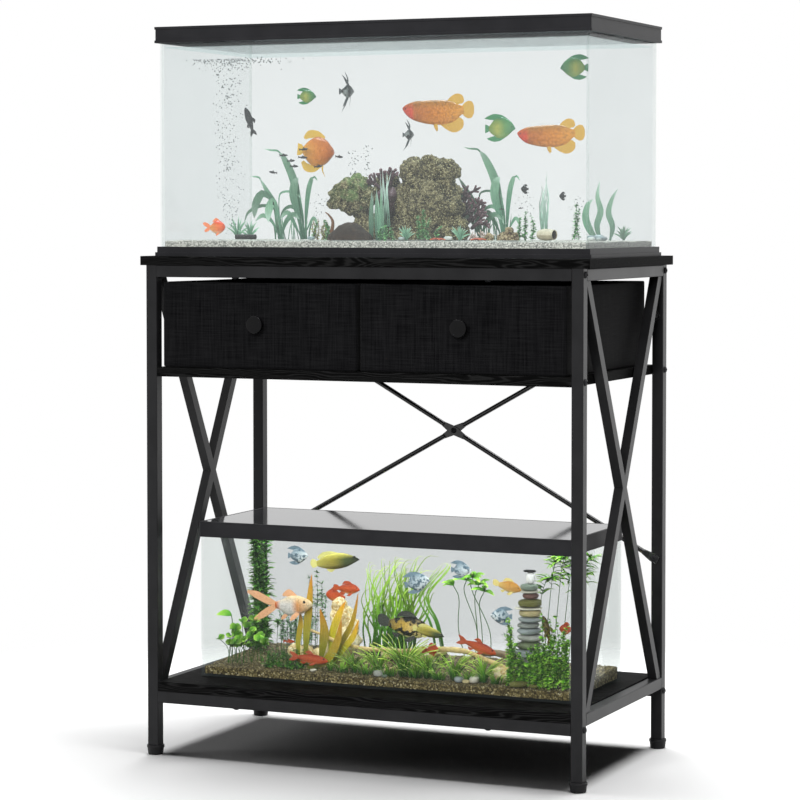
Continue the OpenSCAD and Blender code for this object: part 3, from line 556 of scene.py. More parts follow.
def mossy_rock(name, dark, mid, light, moss, speckle="#c9c295"):
    """Porous lava rock with coralline crust in dark, ochre and buff tones, laid as painted shade in its pits
    and hollows and painted light on its knobs, with pale specks of 1 to 2 mm, and a soft green film where the
    second kind is marked."""
    made, tree = started(name)
    place = add(tree, "TexCoord").outputs["Object"]
    mark = add(tree, "Attribute", attribute_name="mark")
    own = add(tree, "SeparateXYZ", {"Vector": mark.outputs["Vector"]})
    grit = add(tree, "TexNoise", {"Vector": place, "Scale": 1 / (5 * MM), "Detail": 8.0, "Roughness": 0.7})
    speck = add(tree, "TexVoronoi", {"Vector": place, "Scale": 1 / (3.4 * MM)})
    # painted shade and light: the grit that makes the bump also darkens the tone in its hollows and lightens it on its
    # crests, on top of the tone mark's painted light and shade
    coarse = add(tree, "MapRange", {"Value": grit, "From Min": 0.32, "From Max": 0.68})
    level = add(tree, "Math", {0: own.outputs["Y"], 1: coarse}, operation="ADD")
    level = add(tree, "Math", {0: level, 1: 0.5}, operation="MULTIPLY")
    tone = add(tree, "ValToRGB", {"Fac": level}, stops=[(0.3, dark), (0.47, mid), (0.68, light)])
    dots = add(tree, "ValToRGB", {"Fac": speck}, stops=[(0.22, "#ffffff"), (0.34, "#000000")])
    chosen = add(tree, "ValToRGB", {"Fac": grit}, stops=[(0.41, "#000000"), (0.5, "#ffffff")])
    share = add(tree, "Math", {0: dots, 1: chosen}, operation="MULTIPLY")
    pale = add(tree, "Mix", {0: share, 6: tone, 7: colour(speckle)}, data_type="RGBA")
    patch = add(tree, "TexNoise", {"Vector": place, "Scale": 1 / (24 * MM), "Detail": 5.0})
    reach = add(tree, "ValToRGB", {"Fac": patch}, stops=[(0.42, "#000000"), (0.56, "#ffffff")])
    green = add(tree, "Math", {0: reach, 1: own.outputs["Z"]}, operation="MULTIPLY")
    film = add(tree, "Mix", {0: green, 6: pale.outputs[2], 7: colour(moss)}, data_type="RGBA")
    bump = add(tree, "Bump", {"Height": grit, "Strength": 1.0, "Distance": 2.6 * MM})
    return closed(
        made, "BsdfPrincipled",
        {"Base Color": film.outputs[2], "Roughness": 0.85, "Normal": bump, "Specular IOR Level": 0.3},
    )


def worn_stone(name, stops, banding=18.0):
    """River-worn stone: smooth rounded pebbles, each with its own tone, thin mineral bands and fine
    speckle, half matt."""
    made, tree = started(name)
    place = add(tree, "TexCoord").outputs["Object"]
    mark = add(tree, "Attribute", attribute_name="mark")
    own = add(tree, "SeparateXYZ", {"Vector": mark.outputs["Vector"]})
    bands = add(tree, "TexNoise", {"Vector": place, "Scale": 1 / (banding * MM), "Detail": 6.0})
    grit = add(tree, "TexNoise", {"Vector": place, "Scale": 1 / (1.2 * MM), "Detail": 2.0})
    tone = add(tree, "ValToRGB", {"Fac": own.outputs["Y"]}, stops=stops)
    tone.color_ramp.interpolation = "CONSTANT"
    level = add(tree, "MapRange", {"Value": bands, "From Min": 0.3, "From Max": 0.7, "To Min": 0.72, "To Max": 1.15})
    speckle = add(tree, "MapRange", {"Value": grit, "From Min": 0.3, "From Max": 0.7, "To Min": 0.85, "To Max": 1.1})
    both = add(tree, "Math", {0: level, 1: speckle}, operation="MULTIPLY")
    shaded = add(tree, "VectorMath", {0: tone, "Scale": both}, operation="SCALE")
    bump = add(tree, "Bump", {"Height": grit, "Strength": 0.25, "Distance": 0.3 * MM})
    return closed(made, "BsdfPrincipled", {"Base Color": shaded, "Roughness": 0.5, "Normal": bump})


def cobble(x, y, z, rx, ry, thick, turn, tone, seed):
    """Flat river stone standing on z: a ball of (sin p)^0.55 across and |cos p|^0.8 high at polar angle p,
    with soft noise in its outline."""
    points, faces, marks = ball((0, 0, 0), 1.0, 32, 15, tone)
    across = np.linalg.norm(points[:, :2], axis=1, keepdims=True)
    points[:, :2] *= np.maximum(across, 1e-9) ** (0.55 - 1)
    points[:, 2] = np.sign(points[:, 2]) * np.abs(points[:, 2]) ** 0.8
    points = points * (1 + 0.07 * noise(points * 1.6 + seed, seed)[:, None])
    points = points * (rx, ry, thick / 2)
    points = points @ turned(turn).T + (x, y, 0)
    points[:, 2] += z - points[:, 2].min()
    return points, faces, marks


# ---------- plants ----------


def leaf(points, width, shade=0.5, kind=0.0, widest=0.45, root=0.2, thick=0.35, count=12, facing=(0, -1, 0), fold=0.2):
    """Leaf along a curve: half width = width sin(pi s^k)^0.8, with k set so that it is widest at s = widest,
    and never under (root (1 - s) + 0.03) width."""
    s = np.linspace(0, 1, count)
    k = math.log(0.5) / math.log(widest)
    half = width * np.maximum(np.sin(np.pi * s**k).clip(0) ** 0.8, root * (1 - s) + 0.03)
    return sweep(curve(points, count), half, thick, 4, facing, shade, kind, fold)


def moved(points, x, y, z):
    """Given points moved by x, y, z."""
    return np.asarray(points, float) + (x, y, z)


def leafy_stem(path, leaves, length, width, rng, rise, stem, start=0.05, taper=0.4):
    """Stem with leaves all round it: each leaf starts on the stem, points outwards at a random heading and
    rises by about rise radians, and shrinks by taper towards the top."""
    line = curve(path, 24)
    half = stem * np.linspace(1, 0.5, 24)
    parts = [sweep(line, half, half, 5, (0.3, 1, 0.1), 0.3, 1.0)]
    one = leaf([(0, 0, 0), (0.5, 0, 0.06), (1, 0, -0.15)], width, count=4, thick=0.02, facing=(0, 0, 1), root=0.3)
    share = rng.uniform(start, 1, leaves)
    places = line[(share * 23).astype(int)]
    turns = turned(rng.uniform(0, 2 * np.pi, leaves), -rise + rng.normal(0, 0.35, leaves), rng.normal(0, 0.4, leaves))
    sizes = length * rng.uniform(0.7, 1.2, leaves) * (1 - taper * share)
    parts.append(copies(one, places, turns, sizes, rng.uniform(0, 1, leaves)))
    return parts


def grass_tuft(x, y, z, blades, height, spread, width, rng, bend):
    """Tuft of grass: each blade follows root + height (t up + bend t^2 out), at its own heading."""
    t = np.linspace(0, 1, 6)[:, None]
    one = leaf(
        np.concatenate([bend * t**2, 0 * t, t * (1 - 0.25 * bend * t**2)], axis=1), width / height, count=7,
        thick=0.012, facing=(1, 0, 0), widest=0.35, root=0.5,
    )
    heading = rng.uniform(0, 2 * np.pi, blades)
    out = spread * np.sqrt(rng.uniform(0, 1, blades))
    places = np.stack([x + out * np.cos(heading), y + 0.6 * out * np.sin(heading), np.full(blades, z)], axis=-1)
    turns = turned(heading + rng.normal(0, 0.6, blades), rng.normal(0, 0.12, blades))
    sizes = height * rng.uniform(0.55, 1.1, blades)
    return copies(one, places, turns, sizes, rng.uniform(0, 1, blades))


def plant_skin(name, root, low, high, tip, stem, roughness=0.45, vein_mm=2.2):
    """Moulded and living leaf alike: tone runs from root to tip along each leaf, every leaf is a little
    lighter or darker than the next, and fine ribs run through it; waxy."""
    made, tree = started(name)
    place = add(tree, "TexCoord").outputs["Object"]
    mark = add(tree, "Attribute", attribute_name="mark")
    own = add(tree, "SeparateXYZ", {"Vector": mark.outputs["Vector"]})
    long = add(tree, "Mapping", {"Vector": place, "Scale": (1 / (vein_mm * MM), 1 / (vein_mm * MM), 1 / (16 * MM))})
    ribs = add(tree, "TexNoise", {"Vector": long, "Scale": 1.0, "Detail": 2.0})
    ramp = add(tree, "ValToRGB", {"Fac": own.outputs["X"]}, stops=[(0.0, root), (0.3, low), (0.75, high), (1.0, tip)])
    spread = add(tree, "MapRange", {"Value": own.outputs["Y"], "To Min": 0.4, "To Max": 1.4})
    rib = add(tree, "MapRange", {"Value": ribs, "From Min": 0.3, "From Max": 0.7, "To Min": 0.8, "To Max": 1.2})
    level = add(tree, "Math", {0: spread, 1: rib}, operation="MULTIPLY")
    shaded = add(tree, "VectorMath", {0: ramp, "Scale": level}, operation="SCALE")
    is_stem = add(tree, "Math", {0: own.outputs["Z"], 1: 0.5}, operation="GREATER_THAN")
    whole = add(tree, "Mix", {0: is_stem, 6: shaded, 7: colour(stem)}, data_type="RGBA")
    bump = add(tree, "Bump", {"Height": ribs, "Strength": 0.3, "Distance": 0.3 * MM})
    return closed(made, "BsdfPrincipled", {"Base Color": whole.outputs[2], "Roughness": roughness, "Normal": bump})


def broad_leaf_plant(x, y, z, rng):
    """Silk sword plant: four tall blades, three with thin folded tips, and hanging leaves on arched stems."""
    tall = [
        ([(8, 0, 0), (5, -2, 40), (-4, -3, 80), (-14, -2, 122), (-34, 0, 160), (-48, 2, 176)], 9, 0.55),
        ([(-48, 0, 0), (-52, 2, 30), (-56, 2, 66), (-76, 0, 100), (-92, 0, 124)], 6, 0.5),
        ([(10, 3, 0), (12, 5, 60), (17, 5, 100), (24, 4, 121), (28, 2, 123)], 5.5, 0.5),
        ([(6, -4, 0), (0, -6, 45), (-10, -8, 85), (-8, -8, 112), (0, -8, 124)], 9.5, 0.6),
    ]
    parts = [leaf(moved(p, x, y, z), w, rng.uniform(0.3, 0.7), widest=at, root=0.35, count=18) for p, w, at in tall]
    flags = [
        [(-46, 2, 174), (-52, 0, 179), (-66, -2, 180), (-80, -4, 183)], [(-90, 0, 122), (-96, 0, 126), (-112, -2, 127)],
        [(27, 2, 123), (33, 0, 125), (40, -2, 116)],
    ]
    parts += [leaf(moved(p, x, y, z), 2.0, 0.9, root=0.9, count=8) for p in flags]
    # hanging leaves
    arches = [
        ([(-45, 0, 0), (-50, 0, 50), (-62, -4, 80), (-82, -6, 92), (-96, -8, 70), (-100, -8, 42)], 9, 0.74),
        ([(-40, 0, 0), (-46, -4, 45), (-56, -8, 76), (-66, -8, 60), (-68, -8, 34)], 9, 0.7),
        ([(-44, 0, 0), (-52, -2, 55), (-80, -4, 68), (-112, -6, 56), (-124, -6, 34)], 3.5, 0.6),
        ([(-46, 0, 0), (-40, -4, 50), (-20, -6, 66), (-2, -6, 56), (8, -6, 30)], 4, 0.6),
        ([(-42, 0, 0), (-48, 0, 80), (-34, -2, 96), (-8, -4, 92), (8, -4, 78)], 2.4, 0.6),
        ([(-46, 0, 0), (-60, -4, 34), (-80, -6, 48), (-98, -8, 36)], 4.5, 0.6),
        ([(-44, 0, 0), (-30, -4, 34), (-12, -6, 50), (2, -8, 40)], 5.5, 0.55),
        ([(4, 0, 0), (-12, -4, 34), (-26, -6, 54), (-42, -8, 40)], 5, 0.6),
        ([(6, 0, 0), (24, -2, 34), (34, -4, 42), (44, -6, 22)], 3.5, 0.6),
    ]
    parts += [leaf(moved(p, x, y, z), w, rng.uniform(0.1, 0.8), widest=at, root=0.28, count=16) for p, w, at in arches]
    for _ in range(22):
        foot, lean = rng.uniform(-58, 20), rng.normal(0, 10)
        stem = [(foot, 0, 0), (foot + lean * 0.3, -2, 22), (foot + lean, -3, rng.uniform(34, 62))]
        parts.append(leaf(moved(stem, x, y, z), 1.1, rng.uniform(0, 0.7), root=0.9, count=7))
    return parts


def plant_upper_tank():
    """Silk and plastic plants of the upper tank."""
    rng = np.random.default_rng(11)
    z = UPPER_GROUND
    silk = plant_skin("blue_green_silk_leaf", "#486c5a", "#5c866e", "#7ba388", "#aec8b9", "#4b6f5c")
    parts = broad_leaf_plant(-252, 32, z, rng) + broad_leaf_plant(164, 84, z, rng)
    # kelp: three wavy blades over pale stones
    for points, width in (
        ([(398, 10, z), (392, 8, 1042), (400, 6, 1070), (394, 4, 1098), (398, 4, 1128)], 6.5),
        ([(394, 6, z), (380, 2, 1034), (372, 0, 1058), (376, 0, 1082), (386, 0, 1093)], 7.5),
        ([(416, 14, z), (422, 12, 1040), (414, 12, 1066), (420, 12, 1092), (432, 12, 1113)], 6),
    ):
        parts.append(leaf(points, width, rng.uniform(0.5, 0.9), widest=0.4, root=0.4, count=22, fold=0.35))
    # blue-green strap leaves in front of the arch
    for _ in range(7):
        foot, lean = rng.uniform(-38, -12), rng.normal(-2, 5)
        height = rng.uniform(60, 136)
        points = [(foot, -92, z), (foot + lean * 0.4, -94, z + height * 0.5), (foot + lean, -92, z + height)]
        parts.append(leaf(points, rng.uniform(2.5, 5), rng.uniform(0.2, 0.8), widest=0.35, root=0.6, count=10))
    # agave tufts near the side panes
    agaves = [(-408, 60, 30, 46), (424, 70, 22, 30), (-372, 44, 24, 40), (52, -128, 20, 30), (150, -96, 22, 30)]
    for x, y, reach, tall in agaves:
        for a in np.linspace(0.15, np.pi - 0.15, 11):
            out = reach * np.cos(a) * rng.uniform(0.7, 1.1)
            up = tall * (0.45 + 0.55 * np.sin(a)) * rng.uniform(0.8, 1.05)
            depth = rng.normal(0, 6)
            points = [(x, y, z), (x + 0.35 * out, y + depth * 0.5, z + 0.6 * up), (x + out, y + depth, z + up)]
            parts.append(leaf(points, 1.9, rng.uniform(0.4, 1), widest=0.4, root=0.6, count=7))
    piece("upper_silk_plants", parts, silk, replaces=["upper_plants"])
    pale = plant_skin("grey_green_ribbon_leaf", "#5f8470", "#86a595", "#adc3b8", "#cfdcd5", "#74927f", 0.4)
    parts = []
    for k in range(12):
        foot = 262 + rng.uniform(-5, 8)
        wave = rng.uniform(0, 6)
        t = np.linspace(0, 1, 9)
        sway = 5.5 * np.sin(wave + 7 * t) * t
        points = np.stack([foot + 9 * (k / 5.5 - 1) * t + sway, 60 + 0 * t, z + rng.uniform(96, 136) * t], axis=-1)
        parts.append(leaf(points, 1.6, rng.uniform(0.2, 1), widest=0.3, root=0.8, count=20))
    for k in range(7):
        foot = -22 + 3.2 * (k - 3)
        points = [
            (foot, -60, 1040), (foot + rng.normal(0, 3), -60, 1100),
            (foot + rng.normal(0, 5), -60, rng.uniform(1138, 1160)),
        ]
        parts.append(leaf(points, 1.3, rng.uniform(0.3, 1), widest=0.35, root=0.8, count=12))
    piece("upper_ribbon_plants", parts, pale)
    fine = plant_skin("fine_needle_plant", "#2c5c36", "#468a50", "#74b070", "#b3d6a4", "#3c6a42")
    parts = []
    for x, y, tall, leaves in (
        (248, -40, 44, 110), (262, -42, 56, 130), (276, -38, 50, 110), (334, 40, 72, 130), (342, 42, 60, 100),
        (84, -120, 60, 150), (76, -122, 48, 120), (94, -118, 44, 110), (-8, -112, 30, 80), (4, -116, 26, 70),
        (-146, -66, 40, 90), (-176, -62, 34, 80), (20, -120, 24, 70), (112, -116, 28, 70),
    ):
        path = [(x, y, z), (x + rng.normal(0, 3), y, z + tall * 0.5), (x + rng.normal(0, 5), y, z + tall)]
        parts += leafy_stem(path, leaves, 8, 0.26, rng, 0.3, 0.5)
    piece("upper_needle_plants", parts, fine)
    fuzz = plant_skin("yellow_green_moss_ball", "#6f7a3c", "#94a05a", "#b3b877", "#d6d2a2", "#6b4a33", 0.7)
    parts = []
    for _ in range(9):
        foot = rng.uniform(-182, -148)
        path = [
            (foot, -62, z), (foot + rng.normal(0, 6), -62, z + 18),
            (foot + rng.normal(0, 8), -62, z + rng.uniform(26, 44)),
        ]
        parts += leafy_stem(path, 60, 5.5, 0.3, rng, 0.1, 0.9)
    horn = [(-142, -64, z), (-136, -64, 1032), (-134, -64, 1050), (-142, -64, 1062), (-150, -64, 1068)]
    parts.append(sweep(curve(horn, 24), np.linspace(5, 1, 24), np.linspace(5, 1, 24), 8, (0, 1, 0), 0.3, 1.0))
    piece("upper_moss_ball", parts, fuzz)


def coral_skin(name, dark, light, tip):
    """Cast resin coral, hand painted: knobbly, with painted shade in its hollows, and paler at its tips; satin."""
    made, tree = started(name)
    place = add(tree, "TexCoord").outputs["Object"]
    mark = add(tree, "Attribute", attribute_name="mark")
    own = add(tree, "SeparateXYZ", {"Vector": mark.outputs["Vector"]})
    knobs = add(tree, "TexNoise", {"Vector": place, "Scale": 1 / (4 * MM), "Detail": 5.0, "Roughness": 0.65})
    # painted shade: the knobs that make the bump also darken the colour in their hollows
    level = add(tree, "Math", {0: own.outputs["X"], 1: knobs}, operation="ADD")
    half = add(tree, "Math", {0: level, 1: 0.5}, operation="MULTIPLY")
    tone = add(tree, "ValToRGB", {"Fac": half}, stops=[(0.25, dark), (0.55, light), (0.8, tip)])
    bump = add(tree, "Bump", {"Height": knobs, "Strength": 0.9, "Distance": 1.5 * MM})
    return closed(made, "BsdfPrincipled", {"Base Color": tone, "Roughness": 0.55, "Normal": bump})


def branching(root, heading, length, radius, depth, rng):
    """Coral limb that forks: each limb is a bent, knobbly taper, and carries two or three shorter ones, 0.6
    radians apart."""
    bend = rng.normal(0, 0.25)
    way = np.array([math.sin(heading), 0.25 * rng.normal(), math.cos(heading)])
    mid = np.array(root) + way * length * 0.5 + (length * bend * 0.4, 0, 0)
    end = np.array(root) + way * length + (length * bend * 0.2, 0, 0)
    line = curve([root, mid, end], 12)
    knob = 1 + 0.22 * noise(line / 4, 5)
    half = radius * knob * np.linspace(1, 0.95, 12) ** 6 * np.append(np.ones(11), 0.6)
    parts = [sweep(line, half, half, 7, (0.2, 1, 0), rng.uniform(0.2, 0.8))]
    if depth:
        for turn in rng.permutation([-1.0, 0.1, 1.0])[: 2 + int(rng.uniform() < 0.5)]:
            start = line[int(rng.uniform(6, 11))]
            parts += branching(start, heading + 0.6 * turn, length * 0.72, radius * 0.85, depth - 1, rng)
    return parts


def stack_rocks():
    """Arch rock with its mossy cap and towers, the smooth cave, the corals and the speckled rock."""
    z = UPPER_GROUND
    arch = [
        (-45, -5, 1040, 34), (10, 0, 1045, 42), (65, -10, 1045, 42), (104, -15, 1036, 30), (-20, 0, 1085, 32),
        (15, 10, 1120, 33), (8, 10, 1150, 26), (66, -10, 1100, 42), (72, -15, 1146, 27), (52, -12, 1160, 20),
        (92, -14, 1150, 22), (-45, 0, 1126, 24), (-88, -25, 1042, 20), (-92, -25, 1070, 17), (-75, -15, 1022, 24),
        (40, -14, 1080, 34), (92, -16, 1078, 30), (118, -16, 1030, 18), (-8, -16, 1030, 26), (30, -20, 1026, 24),
    ]
    cap = [
        (-98, -35, 1106, 34, 0.55), (-126, -35, 1100, 27, 0.15), (-76, -33, 1098, 24, 0.1), (-146, -36, 1086, 13),
        (-104, -38, 1086, 24),
    ]
    rock = mossy_rock("porous_lava_rock", "#0f0c08", "#4f4934", "#8f8766", "#5c8248")
    piece(
        "upper_arch_rock", rock_lumps(arch + cap, z + 0.1, 0.2, 3.6, 3, sides=64, rings=40), rock,
        replaces=["upper_rocks"],
    )
    cave = mossy_rock("brown_resin_cave", "#1c1510", "#30241d", "#41332a", "#3a4a2c", "#46382d")
    lumps = [(-72, -118, 1012, 37), (-98, -112, 1010, 24), (-50, -112, 1010, 24)]
    piece("upper_cave", rock_lumps(lumps, z + 0.1, 0.03, 9, 8), cave)
    specked = mossy_rock("brown_speckled_rock", "#2a2118", "#6b5a43", "#b5a684", "#4f6b3f")
    lumps = [
        (250, -100, 1022, 13), (238, -98, 1018, 9), (262, -98, 1020, 11), (255, -104, 1030, 9), (205, -86, 1018, 9)
    ]
    piece("upper_speckled_rock", rock_lumps(lumps, z + 0.1, 0.3, 3, 21, sides=28, rings=18), specked)
    rng = np.random.default_rng(5)
    plum = coral_skin("plum_brown_resin_coral", "#1f1518", "#4a353b", "#74595e")
    parts = []
    for root, heading, length, radius in (
        ((-30, -40, 1118), -0.2, 20, 4.8), ((-22, -40, 1116), 0.25, 21, 4.6), ((-38, -40, 1114), -0.9, 22, 4.0),
        ((92, 36, 1040), 0.4, 28, 4.6), ((108, 38, 1044), 0.2, 32, 4.6), ((118, 40, 1050), 0.7, 28, 4.4),
        ((88, 40, 1070), 0.3, 28, 4.2), ((120, 36, 1036), 1.0, 24, 4.2), ((100, 40, 1086), 0.5, 24, 3.8),
    ):
        parts += branching(root, heading, length, radius, 2, rng)
    parts += rock_lumps([(-30, -38, 1098, 20), (-28, -38, 1080, 17)], z, 0.25, 4, 31, sides=28, rings=18)
    piece("upper_plum_coral", parts, plum)
    pink = coral_skin("pink_white_resin_coral", "#6b5a52", "#b9aaa0", "#e2d8d0")
    parts = []
    for k in range(12):
        parts += branching(
            (166 + 3.6 * k, -84 + rng.normal(0, 5), z), rng.normal(0, 0.5), rng.uniform(8, 14), 1.6, 1, rng
        )
    piece("upper_pale_coral", parts, pink)


def place_ornaments():
    """Barrel jar on its side, air stone bar, starfish and pale stones."""
    z = UPPER_GROUND + 0.1
    # the jar's tones: the darkest is painted shade for its inside, the lightest painted light for its upper half
    jar_skin = worn_stone("glazed_stoneware_jar", [(0.0, "#3a3128"), (0.34, "#a39a80"), (0.67, "#c3bca4")], 9.0)
    # (x, radius) up the outer wall, over the lip and down the inside
    profile = [
        (-18, 4), (-17.6, 8), (-12, 10), (-4, 11.2), (6, 11), (14, 9.5), (18, 9.6), (18.4, 8.6),
        (16, 7.2), (4, 7.6), (-12, 7), (-13, 3),
    ]
    length, radius = (np.array(column, float)[:, None] for column in zip(*profile))
    rows, sides, lip = len(profile), 32, 8
    angle = 2 * np.pi * np.arange(sides) / sides
    grid = np.stack([length + 0 * angle, radius * np.cos(angle), radius * np.sin(angle)], axis=-1)
    points = np.concatenate([grid.reshape(-1, 3), grid[[0, -1]].mean(axis=1)])
    marks = np.full_like(points, 0.5)
    inner = np.append(np.repeat(np.arange(rows) >= lip, sides), [False, True])
    # tone mark: painted shade inside the jar (0.1), painted light on the upper half of its outside (0.8), 0.5 below
    marks[:, 1] = np.where(inner, 0.1, 0.5 + 0.3 * (points[:, 2] > 0))
    points = points @ turned(-0.25).T + (334, -112, z + 11.3)
    piece("upper_jar", [(points, ring_faces(rows, sides), marks)], jar_skin, replaces=["upper_ornaments"])
    bar = worn_stone("sintered_air_stone", [(0.0, "#1c1c1d"), (0.5, "#2c2c2e")], 6.0)
    radius = [3, 5, 5, 5, 3]
    line = [(x, -80, z + 5.2) for x in (-341, -340, -318, -296, -295)]
    piece("upper_air_stone", [sweep(line, radius, radius, 16, (0, 1, 0), 0.2)], bar)
    pale = worn_stone(
        "pale_blue_grey_pebble", [(0.0, "#8fa0a3"), (0.3, "#a9b5b3"), (0.6, "#c3c9c4"), (0.85, "#7f8f93")]
    )
    rng = np.random.default_rng(7)
    pebbles = [
        (402, -52, 9), (418, -56, 10), (430, -66, 7), (408, -70, 6), (425, -76, 5), (-172, -84, 6), (-120, -90, 5),
        (46, -136, 6), (132, -110, 7),
    ]
    parts = [
        cobble(x, y, z, r * 1.3, r, r * 1.1, rng.uniform(0, 3), rng.uniform(0, 1), k)
        for k, (x, y, r) in enumerate(pebbles)
    ]
    piece("upper_pale_stones", parts, pale)
    star = coral_skin("orange_starfish", "#6b2c1c", "#a8482c", "#c8693f")
    parts = []
    for x, y in ((118, -132), (196, -118)):
        for k in range(5):
            a = 2 * np.pi * k / 5 + 0.3
            c, s = math.cos(a), math.sin(a)
            arm = [(x, y, z + 3), (x + 8 * c, y + 6 * s, z + 3), (x + 17 * c, y + 12 * s, z + 1.5)]
            parts.append(sweep(curve(arm, 8), np.linspace(4, 0.8, 8), np.linspace(2.6, 0.8, 8), 8, (0, 0, 1)))
    piece("upper_starfish", parts, star)


def low_ground(y):
    """Height of the lower gravel at depth y: it rises from 167 in front to 176 behind."""
    return 167 + 9 * ((np.asarray(y, float) + 7) / 284 + 0.5)


